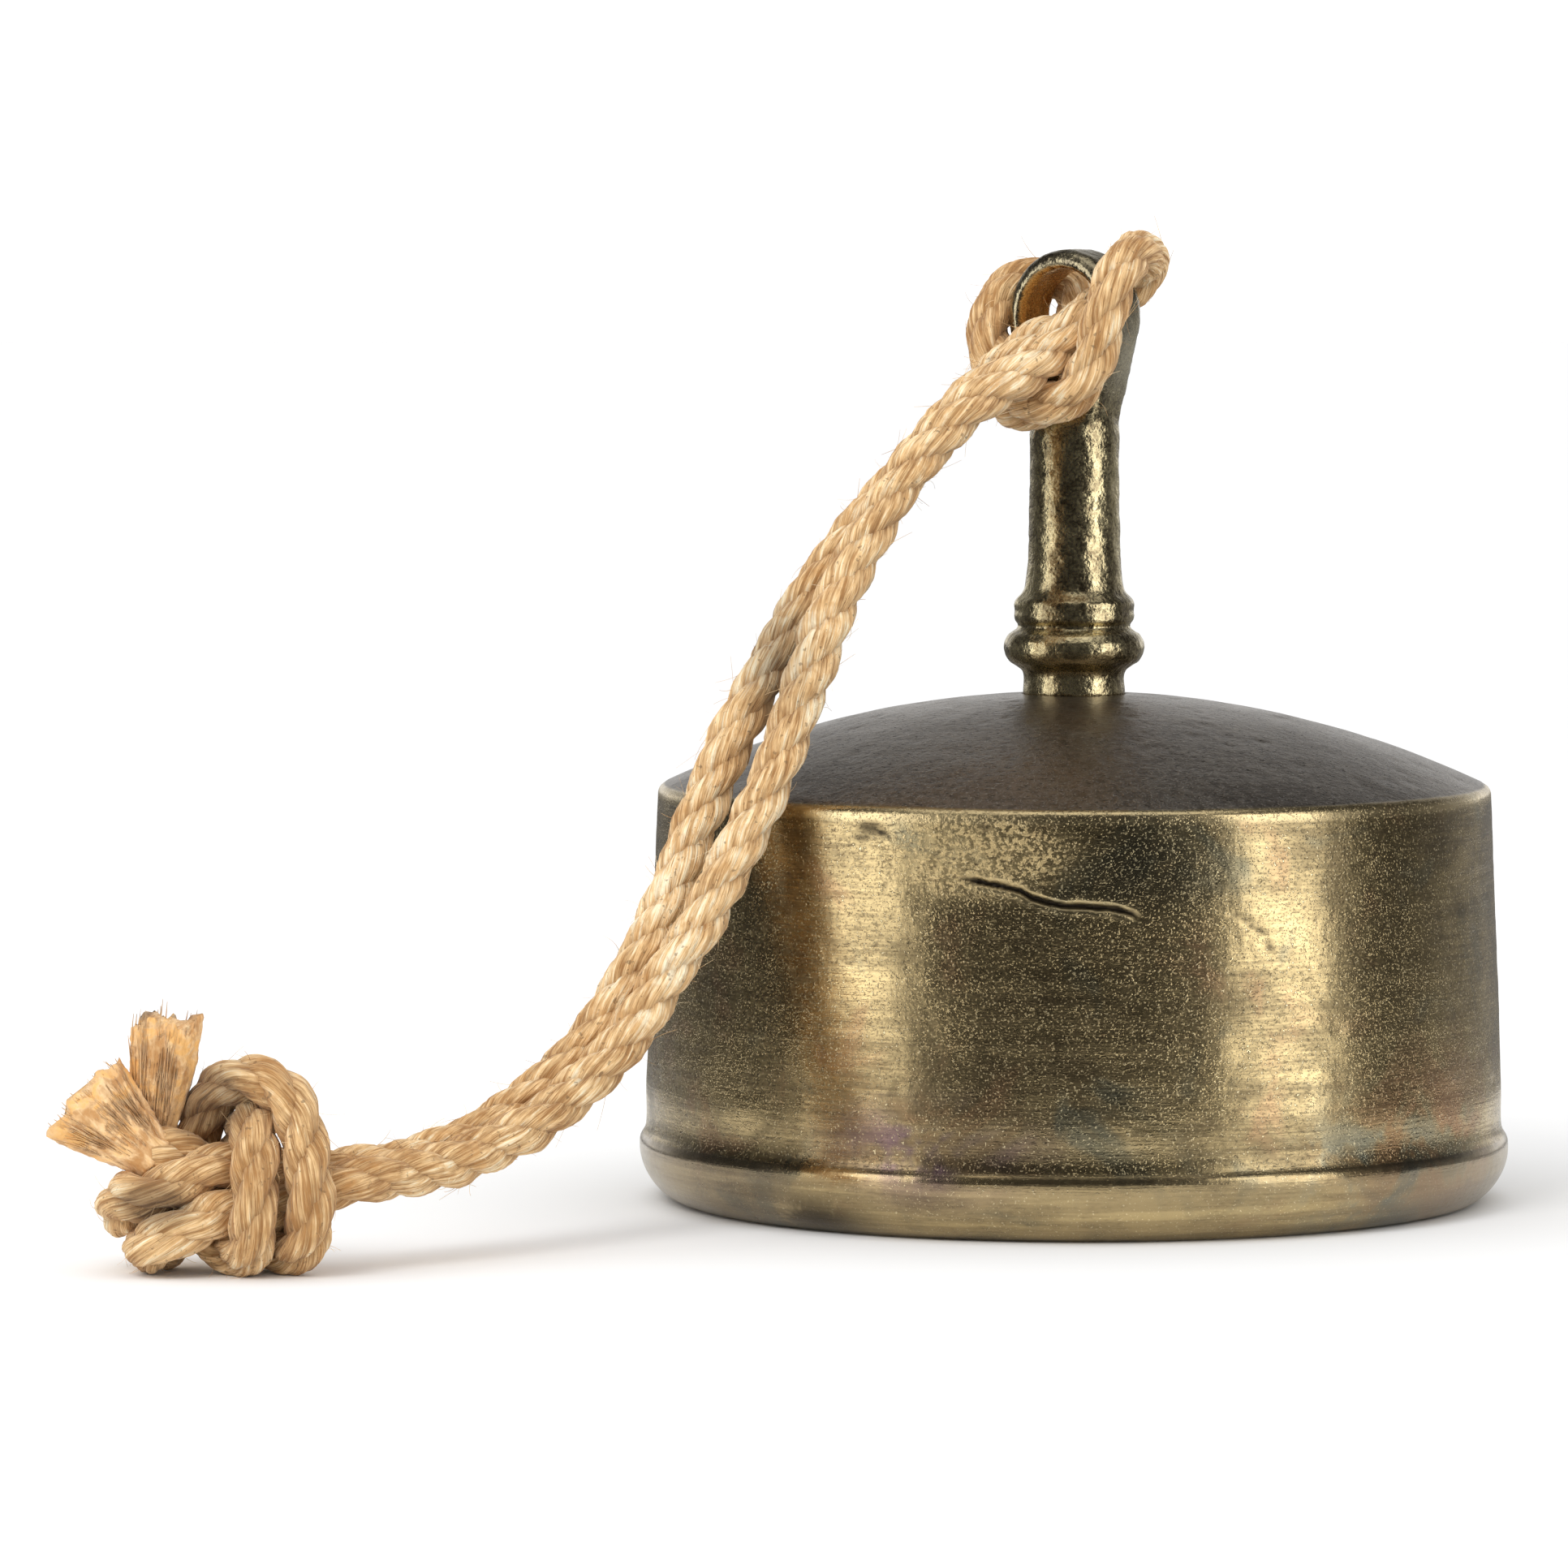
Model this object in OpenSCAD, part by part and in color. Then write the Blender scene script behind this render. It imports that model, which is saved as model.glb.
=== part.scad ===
// Ship's bell: a squat cast brass bell on a turned stem with a rope eye, a clapper pinned in a fork
// under the crown, and a doubled jute rope hitched through the eye and knotted at its far end.
// The bell stands on its mouth, with the origin at the centre of the mouth and +Z up its axis.

/* [Bell] */
// Outside diameter over the lip
lip_d = 120; // [118:0.5:124]
// Outside diameter of the wall at the shoulder, where the dome starts
shoulder_d = 114.8; // [112:0.2:116]
// Height of the shoulder above the mouth
shoulder_z = 57; // [55:0.5:59]
// Radius of the dome's sphere
dome_r = 133; // [125:1:145]
// Thickness of the wall and of the dome
wall_t = 4.5; // [4:0.1:5]

/* [Stem and eye] */
// Diameter of the plain shaft
shaft_d = 12.2; // [11.6:0.2:13]
// Diameter over the lower bead
lower_bead_d = 19.5; // [18.5:0.1:20.5]
// Diameter over the upper bead
upper_bead_d = 16.5; // [16:0.1:17.5]
// Height of the centre of the eye's hole
hole_z = 121.7; // [120:0.1:123]
// Diameter of the eye's hole
hole_d = 13; // [12.6:0.1:13.4]
// Diameter of the ring around the hole
ring_d = 18.4; // [17.5:0.1:18.8]
// Thickness of the ring along its hole
ring_t = 7.5; // [7:0.1:8]
// Turn of the ring about the bell's axis
eye_turn = -38; // [-42:1:-34]

/* [Clapper] */
// Height of the clapper's hinge pin
pin_z = 51; // [50:0.5:51.5]
// Diameter of the hinge pin
pin_d = 4; // [3.6:0.1:4.2]
// Distance from the hinge pin to the ball's centre
clapper_l = 48; // [47:0.5:49]
// Diameter of the clapper's ball
ball_d = 26; // [24:0.5:27]
// Diameter of the clapper's rod
rod_d = 4; // [3.5:0.1:4.5]

/* [Rope] */
// Diameter of the rope
rope_d = 6; // [5.5:0.1:6.2]

/* [Hidden] */

// Lip: a wide roll below its widest line and a small one above it
lip_r = lip_d / 2;
lip_z = 7.6;
lip_roll_r = 8;
lip_top_r = 1.4;
wall_foot_r = lip_r - 0.7;
shoulder_r = shoulder_d / 2;

// The dome's sphere passes through the shoulder's edge
dome_z = shoulder_z - sqrt(pow(dome_r, 2) - pow(shoulder_r, 2));
crown_z = dome_z + dome_r;

// Inside of the bell: the wall is thickest at the sound bow, just above the mouth
mouth_in_r = lip_r - 7.2;
bow_r = lip_r - 7.8;
bow_z = 5;
throat_r = lip_r - 6;
throat_z = 16;
inner_shoulder_r = shoulder_r - wall_t + 0.4;
inner_shoulder_z = shoulder_z - 8;

// Crown hardware, stacked down from a pad cast inside the crown
crown_bore_r = 4.3;
thread_r = 4;
shank_r = 3.95;
washer_bore_r = 4.3;
pad_r = 11.5;
pad_z = crown_z - 6.3;
leather_t = 1.4;
leather_r = 10;
flat_t = 1.4;
flat_r = 8;
lock_t = 1.9;
lock_r = 7.2;
lock_gap = 1.2;
hex_r = 7.5;
leather_z = pad_z - leather_t;
flat_z = leather_z - flat_t;
lock_z = flat_z - lock_t;

// Stem: flat foot on the crown, tapped from below for the hanger's shank
foot_r = 7;
foot_z = dome_z + sqrt(pow(dome_r, 2) - pow(foot_r, 2));
tap_depth = 16;
shaft_r = shaft_d / 2;
shaft_top_z = hole_z - 18.9;
ring_r = ring_d / 2;
lower_bead_z = 76.1;
lower_bead_r = 2.4;
upper_bead_z = 80.9;
upper_bead_r = 2.1;
// The eye narrows to its neck along lines that leave the ring at this angle below its middle
neck_angle = 16;
neck_l = 18;
ring_steps = 60;

// Fork, its pin and the clapper, which leans until its ball lies just above the surface below
cheek_t = 3;
cheek_r = 4.5;
slot_w = 5.4;
hex_z = pin_z + cheek_r + 0.5;
head_t = 1.2;
head_r = 3.2;
pin_end = 3;
split_d = 1.2;
split_l = 9;
tang_t = 4.8;
tang_bore_r = pin_d / 2 + 0.05;
floor_gap = 0.1;
lean = acos((pin_z - ball_d / 2 - floor_gap) / clapper_l);
nut_t = 3.2;
nut_r = 4;
socket_l = 8;

// Rope routes. The hitch is in the eye's own frame: along the ring, out of its front, up from its hole.
hitch_route = [
    [-2.4, 29, -16.5], [-1.4, 25, -13.3], [-0.2, 20.5, -10.3], [0.8, 15.5, -8.2], [2, 10.5, -6.5],
    [3.6, 5, -2.5], [3.2, 1.5, 0], [3.3, -2, 1.8], [4.5, -6, 3.5], [7.5, -6.8, 7], [9.5, -3, 9.5],
    [10.4, 1.5, 9], [10.8, 5.5, 5.5], [10.4, 7.5, 0.5], [9.4, 7.8, -4], [7.4, 8.8, -8.6], [4.5, 9.2, -11.5],
    [1, 9, -12.8], [-3.5, 7.8, -12.4], [-8.5, 6.5, -8.5], [-12, 4.4, -2.5], [-12.8, 1, 2.5],
    [-11.8, -3.5, 5.3], [-8.8, -7, 6], [-5, -8, 4], [-2.4, -6, 0], [-1.6, -2, -2.7], [-1.8, 2.5, -4],
    [-2.6, 6.5, -5.5], [-3.5, 10.5, -7.4], [-4.8, 15, -9.9], [-5.9, 19.3, -12.9], [-6.5, 23, -16.2]];
// The two legs of the tail hang from the eye, bear on the shoulder and end in the knot.
leg_a_route = [
    [-24.9, -18.3, 98.9], [-30.5, -22.9, 92.5], [-37, -28, 84], [-41.7, -31.2, 75.5], [-46.5, -34, 67],
    [-50, -35.5, 58.5], [-52.5, -38.2, 52.5], [-54.5, -41.6, 46.5], [-57, -45.6, 40.5], [-60.5, -49.5, 34.5],
    [-65, -53.5, 27], [-71.5, -59, 21], [-80.5, -67.5, 15], [-90, -75.5, 12.5], [-98.5, -83, 12]];
leg_b_route = [
    [-24.9, -25.8, 98.9], [-29, -29.5, 92], [-33.2, -34, 84], [-36.3, -38, 75], [-39.5, -41.2, 66.5],
    [-42.5, -43.7, 58.5], [-46, -46.5, 51.5], [-49.5, -49, 45], [-52.7, -51.4, 39], [-57, -54.5, 33],
    [-61, -58, 26.5], [-67.5, -63.5, 20.5], [-76.5, -72, 15], [-86, -80, 12.3], [-97, -89.5, 12]];
tube_sides = 8;

// Knot: the outer shape of a tight doubled overhand knot, lying on the surface below
knot_at = [-108.5, -87.5, 13.2];
knot_r = 13;
knot_tip_at = [-118.5, -91, 8.2];
knot_tip_r = 8;
fray_t = 5;

function unit(v) = v / norm(v);
function tangent(p, i) = unit(p[min(i + 1, len(p) - 1)] - p[max(i - 1, 0)]);
// The ring's first spoke is carried along the route, so that the tube doesn't twist
function spoke(p, i) = i == 0 ? unit(cross(tangent(p, 0), [0, 0, 1]))
    : let (t = tangent(p, i), s = spoke(p, i - 1)) unit(s - (s * t) * t);
function rope_ring(p, i, r) = let (s = spoke(p, i), w = cross(tangent(p, i), s))
    [for (k = [0:tube_sides - 1]) let (a = 360 * k / tube_sides) p[i] + r * (cos(a) * s + sin(a) * w)];
function from_eye(q) = [
    q[0] * cos(eye_turn) + q[1] * sin(eye_turn), q[0] * sin(eye_turn) - q[1] * cos(eye_turn), q[2] + hole_z];

// A tube swept along a route, capped at both ends
module rope_tube(route) {
    n = len(route);
    m = tube_sides;
    points = [for (i = [0:n - 1]) each rope_ring(route, i, rope_d / 2)];
    start_cap = [[for (k = [0:m - 1]) k]];
    end_cap = [[for (k = [m - 1:-1:0]) (n - 1) * m + k]];
    sides = [for (i = [0:n - 2], k = [0:m - 1]) let (a = i * m + k, b = i * m + (k + 1) % m)
        each [[a, a + m, b], [b, a + m, b + m]]];
    polyhedron(points = points, faces = concat(start_cap, sides, end_cap));
}

// A ring with a round hole, standing on the given height
module washer(z, t, outer_r, inner_r) {
    translate([0, 0, z]) difference() {
        cylinder(h = t, r = outer_r, $fn = 96);
        translate([0, 0, -1]) cylinder(h = t + 2, r = inner_r, $fn = 96);
    }
}

// A cylinder along X, centred on the hinge pin's axis
module along_pin(from, to, r) {
    translate([from, 0, pin_z]) rotate([0, 90, 0]) cylinder(h = to - from, r = r, $fn = 64);
}

// What hangs from the hinge pin, drawn straight down from it
module leaning() {
    translate([0, 0, pin_z]) rotate([lean, 0, 0]) children();
}

module shell_outside() {
    intersection() {
        union() {
            polygon([[0, 0], [lip_r - 5.5, 0], [wall_foot_r, lip_z + 1], [shoulder_r, shoulder_z],
                [shoulder_r, crown_z + 1], [0, crown_z + 1]]);
            intersection() {
                translate([lip_r - lip_roll_r, lip_z]) circle(r = lip_roll_r, $fn = 96);
                square([lip_r, lip_z]);
            }
            translate([lip_r - lip_top_r, lip_z]) circle(r = lip_top_r, $fn = 48);
        }
        translate([0, dome_z]) circle(r = dome_r, $fn = 720);
        square([lip_r + 1, crown_z + 1]);
    }
}

module shell_inside() {
    intersection() {
        polygon([[-1, -1], [mouth_in_r, -1], [mouth_in_r, 0], [bow_r, bow_z], [throat_r, throat_z],
            [inner_shoulder_r, inner_shoulder_z], [inner_shoulder_r - 6.5, shoulder_z + 3], [-1, crown_z + 9]]);
        translate([0, dome_z]) circle(r = dome_r - wall_t, $fn = 720);
    }
}

module bell_shell() {
    color("#7d6a3c") rotate_extrude($fn = 240) difference() {
        union() {
            difference() {
                shell_outside();
                shell_inside();
            }
            translate([0, pad_z]) square([pad_r, wall_t]);
        }
        translate([-1, -1]) square([crown_bore_r + 1, crown_z + 2]);
        translate([0, foot_z]) square([foot_r + 0.1, crown_z]);
    }
}

module stem_outline() {
    difference() {
        union() {
            polygon([[0, foot_z], [foot_r, foot_z], [6.8, 72.5], [7.6, 74], [7.4, 78.5], [7.2, 79], [7.2, 83],
                [6.4, 86], [shaft_r, 90], [shaft_r, shaft_top_z], [shaft_r - 0.9, shaft_top_z + 3],
                [shaft_r - 2.5, shaft_top_z + 5], [0, shaft_top_z + 5]]);
            translate([lower_bead_d / 2 - lower_bead_r, lower_bead_z]) circle(r = lower_bead_r, $fn = 48);
            translate([upper_bead_d / 2 - upper_bead_r, upper_bead_z]) circle(r = upper_bead_r, $fn = 48);
        }
        translate([-1, foot_z - 1]) square([thread_r + 1, tap_depth + 1]);
    }
}

// Outside of the ring, from one neck line round to the other
function ring_arc() = [for (k = [0:ring_steps]) let (a = k * (180 + 2 * neck_angle) / ring_steps - neck_angle)
    ring_r * [cos(a), sin(a)]];

module eye_outline() {
    neck_x = ring_r * cos(neck_angle) - neck_l * sin(neck_angle);
    neck_y = -ring_r * sin(neck_angle) - neck_l * cos(neck_angle);
    difference() {
        polygon(concat(ring_arc(), [[-neck_x, neck_y], [neck_x, neck_y]]));
        circle(r = hole_d / 2, $fn = 128);
    }
}

module eye_stem() {
    color("#8c7a48") {
        rotate_extrude($fn = 128) stem_outline();
        translate([0, 0, hole_z]) rotate([0, 0, eye_turn]) rotate([90, 0, 0])
            linear_extrude(height = ring_t, center = true) eye_outline();
    }
}

module leather_washer() {
    color("#6b4526") washer(leather_z, leather_t, leather_r, washer_bore_r);
}

module flat_washer() {
    color("#b9bcc0") washer(flat_z, flat_t, flat_r, washer_bore_r);
}

module lock_washer() {
    color("#9a9da1") difference() {
        washer(lock_z, lock_t, lock_r, washer_bore_r);
        translate([0, -lock_gap / 2, lock_z - 1]) cube([lock_r + 1, lock_gap, lock_t + 2]);
    }
}

module clapper_hanger() {
    color("#a9acb0") difference() {
        union() {
            translate([0, 0, hex_z]) cylinder(h = lock_z - hex_z, r = hex_r, $fn = 6);
            translate([0, 0, lock_z - 1]) cylinder(h = foot_z + tap_depth - lock_z, r = shank_r, $fn = 64);
            for (side = [-1, 1]) {
                translate([side * (slot_w + cheek_t) / 2, 0, (pin_z + hex_z) / 2 + 0.5])
                    cube([cheek_t, 2 * cheek_r, hex_z - pin_z + 1], center = true);
                translate([side * (slot_w + cheek_t) / 2, 0, 0]) along_pin(-cheek_t / 2, cheek_t / 2, cheek_r);
            }
        }
        along_pin(-hex_r - 1, hex_r + 1, pin_d / 2);
    }
}

module hinge_pin() {
    cheek_x = slot_w / 2 + cheek_t;
    color("#c4c7cb") difference() {
        union() {
            along_pin(-cheek_x, cheek_x + pin_end, pin_d / 2);
            along_pin(-cheek_x - head_t, -cheek_x, head_r);
        }
        translate([cheek_x + pin_end / 2, 0, pin_z - pin_d]) cylinder(h = 2 * pin_d, d = split_d, $fn = 24);
    }
}

module split_pin() {
    color("#8f9296") translate([slot_w / 2 + cheek_t + pin_end / 2, 0, pin_z - split_l / 2])
        cylinder(h = split_l, d = split_d, $fn = 24);
}

module clapper_rod() {
    color("#8a733f") leaning() difference() {
        union() {
            translate([0, 0, socket_l - clapper_l - ball_d / 2 + 1])
                cylinder(h = clapper_l + ball_d / 2 - socket_l - 1, r = rod_d / 2, $fn = 48);
            rotate([0, 90, 0]) cylinder(h = tang_t, r = cheek_r, center = true, $fn = 64);
        }
        rotate([0, 90, 0]) cylinder(h = tang_t + 2, r = tang_bore_r, center = true, $fn = 64);
    }
}

module clapper_nut() {
    color("#b09a5c") leaning() translate([0, 0, ball_d / 2 - clapper_l - 0.2]) difference() {
        cylinder(h = nut_t, r = nut_r, $fn = 6);
        translate([0, 0, -1]) cylinder(h = nut_t + 2, r = rod_d / 2 + 0.02, $fn = 48);
    }
}

module clapper_ball() {
    color("#93793f") leaning() translate([0, 0, -clapper_l]) difference() {
        sphere(d = ball_d, $fn = 96);
        translate([0, 0, socket_l - ball_d / 2]) cylinder(h = ball_d, r = rod_d / 2 + 0.02, $fn = 48);
        translate([0, 0, ball_d / 2 - 0.2]) cylinder(h = ball_d, r = nut_r + 1, $fn = 48);
    }
}

module rope_hitch() {
    color("#c9a877") rope_tube([for (q = hitch_route) from_eye(q)]);
}

// Both legs start at the end faces of the hitch
module rope_leg_a() {
    color("#c4a06c") rope_tube(concat([from_eye(hitch_route[len(hitch_route) - 1])], leg_a_route));
}

module rope_leg_b() {
    color("#cdae80") rope_tube(concat([from_eye(hitch_route[0])], leg_b_route));
}

module rope_knot() {
    color("#b98f57") hull() {
        translate(knot_at) sphere(r = knot_r, $fn = 32);
        translate(knot_tip_at) sphere(r = knot_tip_r, $fn = 32);
    }
}

// A frayed end: a neck that spreads into a flat brush
module frayed_end(neck, tip, half_width) {
    hull() {
        translate(neck) sphere(d = rope_d, $fn = 24);
        for (side = [-1, 1]) translate(tip + side * half_width) sphere(d = fray_t, $fn = 24);
    }
}

module rope_end_a() {
    color("#cf9b4d") frayed_end([-118, -91, 16], [-118.8, -92, 30.9], [2.6, 0, 0.2]);
}

module rope_end_b() {
    color("#c88f45") frayed_end([-122.5, -92, 14], [-128.5, -93, 22], [-3.4, 0, -3.6]);
}

bell_shell();
eye_stem();
leather_washer();
flat_washer();
lock_washer();
clapper_hanger();
hinge_pin();
split_pin();
clapper_rod();
clapper_nut();
clapper_ball();
rope_hitch();
rope_leg_a();
rope_leg_b();
rope_knot();
rope_end_a();
rope_end_b();
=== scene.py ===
"""The looks of the ship's bell: antique brass body and stem, laid jute rope, clapper hardware."""

import math

import bmesh
import bpy
import numpy as np
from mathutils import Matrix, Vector


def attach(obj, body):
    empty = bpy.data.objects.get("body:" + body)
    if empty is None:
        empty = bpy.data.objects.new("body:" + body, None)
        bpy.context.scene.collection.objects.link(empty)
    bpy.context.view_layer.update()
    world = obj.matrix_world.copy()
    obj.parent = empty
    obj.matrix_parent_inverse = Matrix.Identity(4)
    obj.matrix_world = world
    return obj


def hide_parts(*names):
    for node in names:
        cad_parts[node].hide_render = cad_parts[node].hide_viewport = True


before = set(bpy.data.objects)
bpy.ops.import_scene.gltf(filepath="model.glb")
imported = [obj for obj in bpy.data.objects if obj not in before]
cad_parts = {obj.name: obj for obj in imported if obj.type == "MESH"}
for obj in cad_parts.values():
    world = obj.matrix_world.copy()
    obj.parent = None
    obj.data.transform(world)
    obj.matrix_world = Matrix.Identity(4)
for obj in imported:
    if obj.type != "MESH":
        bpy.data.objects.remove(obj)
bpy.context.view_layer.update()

MM = 0.001
rng = np.random.default_rng(7)


# -------- camera
camera = bpy.data.objects.new("camera", bpy.data.cameras.new("camera"))
bpy.context.scene.collection.objects.link(camera)
camera.location = (-0.040, -1.200, 0.134)
camera.rotation_euler = (math.radians(90 - 3.66), 0, 0)
camera.data.lens = 200.0
camera.data.sensor_width = 36.0
camera.data.clip_end = 20
bpy.context.scene.camera = camera


# -------- helpers
def value_noise(p, size, seed=0):
    """Smooth noise from -1 to 1 at the points p, with features about size across."""
    q = np.asarray(p, float) / size
    cell = np.floor(q).astype(np.int64)
    f = q - cell
    f = f * f * (3 - 2 * f)
    total = np.zeros(len(q))
    for corner in np.ndindex(2, 2, 2):
        c = np.array(corner)
        k = (cell + c) @ np.array([374761393, 668265263, 2147483647]) + seed * 1274126177
        k = (k ^ (k >> 13)) * 1103515245 & 0x7FFFFFFF
        k = (k ^ (k >> 16)) * 12820163 & 0xFFFFFF
        total += (k / 0x7FFFFF - 1) * np.prod(np.where(c, f, 1 - f), axis=1)
    return total


def placed(name, data):
    """A new object in the scene."""
    obj = bpy.data.objects.new(name, data)
    bpy.context.scene.collection.objects.link(obj)
    return obj


def mesh_object(name, verts, faces, material, floats=None, vectors=None):
    """A new smooth mesh object from points in millimetres, with values at its points."""
    mesh = bpy.data.meshes.new(name)
    mesh.from_pydata((np.asarray(verts) * MM).tolist(), [], faces)
    mesh.update()
    for key, values in (floats or {}).items():
        mesh.attributes.new(key, "FLOAT", "POINT").data.foreach_set("value", np.asarray(values, np.float32))
    for key, values in (vectors or {}).items():
        flat = np.asarray(values, np.float32).ravel()
        mesh.attributes.new(key, "FLOAT_VECTOR", "POINT").data.foreach_set("vector", flat)
    mesh.polygons.foreach_set("use_smooth", [True] * len(mesh.polygons))
    mesh.materials.append(material)
    return placed(name, mesh)


def spline(points, step):
    """A smooth line through the points, with its nodes about step apart."""
    p = np.asarray(points, float)
    p = np.vstack([2 * p[0] - p[1], p, 2 * p[-1] - p[-2]])
    out = []
    t = np.linspace(0, 1, 24, endpoint=False)[:, None]
    for a, b, c, d in zip(p, p[1:], p[2:], p[3:]):
        out.append(b + 0.5 * t * (c - a + t * (2 * a - 5 * b + 4 * c - d + t * (3 * (b - c) + d - a))))
    return spaced(np.vstack(out + [p[-2:-1]]), step)


def spaced(line, step):
    """The same line with evenly spaced nodes."""
    s = np.r_[0, np.cumsum(np.linalg.norm(np.diff(line, axis=0), axis=1))]
    at = np.linspace(0, s[-1], max(2, int(round(s[-1] / step)) + 1))
    return np.column_stack([np.interp(at, s, line[:, k]) for k in range(3)])


def carried_frames(line):
    """Tangents, and two cross directions carried along the line without twist."""
    t = np.gradient(line, axis=0)
    t /= np.linalg.norm(t, axis=1)[:, None]
    n = np.zeros_like(t)
    n[0] = np.cross(t[0], [0.3, 0.2, 1])
    n[0] /= np.linalg.norm(n[0])
    for i in range(1, len(t)):
        v = n[i - 1] - (n[i - 1] @ t[i]) * t[i]
        n[i] = v / np.linalg.norm(v)
    return t, n, np.cross(t, n)


def tube_faces(rings, sides, start=0):
    """Quads of a tube of rings times sides points, with its two ends closed by polygons."""
    i, j = np.meshgrid(np.arange(rings - 1), np.arange(sides), indexing="ij")
    a, b = i * sides + j, i * sides + (j + 1) % sides
    quads = (np.stack([a, b, b + sides, a + sides], axis=-1).reshape(-1, 4) + start).tolist()
    last = (rings - 1) * sides + start
    return quads + [[start + k for k in range(sides)][::-1], [last + k for k in range(sides)]]


def ring_faces(rows, columns, start=0):
    """Quads of a grid of rows times columns points that closes on itself both ways."""
    i, j = np.meshgrid(np.arange(rows), np.arange(columns), indexing="ij")
    here, above, after = i * columns, (i + 1) % rows * columns, (j + 1) % columns
    quads = np.stack([here + j, here + after, above + after, above + j], axis=2)
    return (quads.reshape(-1, 4) + start).tolist()


# -------- material building
class NodeKit:
    """Short names for the nodes that the materials are made of."""

    def __init__(self, tree):
        self.nodes, self.links = tree.nodes, tree.links

    def put(self, socket, value):
        """Links a socket, or sets a plain value."""
        if isinstance(value, bpy.types.NodeSocket):
            self.links.new(value, socket)
        elif value is not None:
            socket.default_value = value

    def node(self, kind, values=(), **settings):
        """A new node with its settings, and its first inputs in order."""
        n = self.nodes.new("ShaderNode" + kind)
        for key, value in settings.items():
            setattr(n, key, value)
        for k, value in enumerate(values):
            self.put(n.inputs[k], value)
        return n

    def fill(self, node, values):
        """Links or sets a node's named inputs."""
        for name, value in values.items():
            self.put(node.inputs[name], value)

    def math(self, op, a, b, clamp=False):
        return self.node("Math", (a, b), operation=op, use_clamp=clamp).outputs[0]

    def times(self, a, b):
        return self.math("MULTIPLY", a, b)

    def without(self, value, weight=None):
        """1 less the value, or less a part of it."""
        return self.math("SUBTRACT", 1.0, value if weight is None else self.times(value, weight))

    def total(self, *terms):
        """The sum of (value, weight) terms; a third number in a term is taken off its value first."""
        result = None
        for value, weight, *middle in terms:
            if middle:
                value = self.math("SUBTRACT", value, middle[0])
            part = value if weight == 1 else self.times(value, weight)
            result = part if result is None else self.math("ADD", result, part)
        return result

    def attribute(self, name, out="Fac"):
        return self.node("Attribute", attribute_name=name).outputs[out]

    def position(self):
        return self.node("TexCoord").outputs["Object"]

    def vector(self, a, b, c):
        return self.node("CombineXYZ", (a, b, c)).outputs[0]

    def split(self, v):
        return self.node("SeparateXYZ", (v,)).outputs

    def scaled(self, v, s):
        return self.node("VectorMath", (v, s), operation="MULTIPLY").outputs[0]

    def noise(self, v, scale=1.0, detail=3.0, rough=0.55, distort=0.0):
        n = self.node("TexNoise")
        self.fill(n, {"Vector": v, "Scale": scale, "Detail": detail, "Roughness": rough, "Distortion": distort})
        return n.outputs["Fac"]

    def stretched(self, v, scales, detail, rough, distort=0.0):
        """Noise stretched by its own scale along each axis."""
        return self.noise(self.scaled(v, scales), 1, detail, rough, distort)

    def ramp(self, v, lo, hi, a=0.0, b=1.0):
        """Smoothly from a to b while the value goes from lo to hi."""
        return self.node("MapRange", (v, lo, hi, a, b), interpolation_type="SMOOTHSTEP").outputs[0]

    def mix(self, share, a, b):
        """From a to b by the share."""
        n = self.node("Mix", (share,), data_type="RGBA")
        for socket, colour in ((n.inputs[6], a), (n.inputs[7], b)):
            self.put(socket, (*colour, 1.0) if isinstance(colour, tuple) else colour)
        return n.outputs[2]

    def layers(self, base, *layers):
        """The base with colours laid over it in turn, each by a share times a weight."""
        for colour, share, weight in layers:
            base = self.mix(self.times(share, weight), base, colour)
        return base

    def bump(self, height, strength, distance, normal=None):
        n = self.node("Bump")
        self.fill(n, {"Strength": strength, "Distance": distance, "Height": height, "Normal": normal})
        return n.outputs[0]

    def spot(self, centre, size):
        """1 at the centre, falling to 0 at size away from it. Sizes along X, Y and Z are in metres."""
        away = self.node("VectorMath", (self.position(), centre), operation="SUBTRACT").outputs[0]
        length = self.node("VectorMath", (self.scaled(away, tuple(1 / s for s in size)),), operation="LENGTH")
        return self.ramp(length.outputs["Value"], 1.0, 0.0)

    def patchy(self, centre, size, field, lo, hi):
        """A spot that shows only where the field has gone from lo to hi."""
        return self.times(self.spot(centre, size), self.ramp(field, lo, hi))


def new_material(name):
    """A new material, its kit and its shader."""
    m = bpy.data.materials.new(name)
    m.use_nodes = True
    return m, NodeKit(m.node_tree), m.node_tree.nodes["Principled BSDF"]


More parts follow.
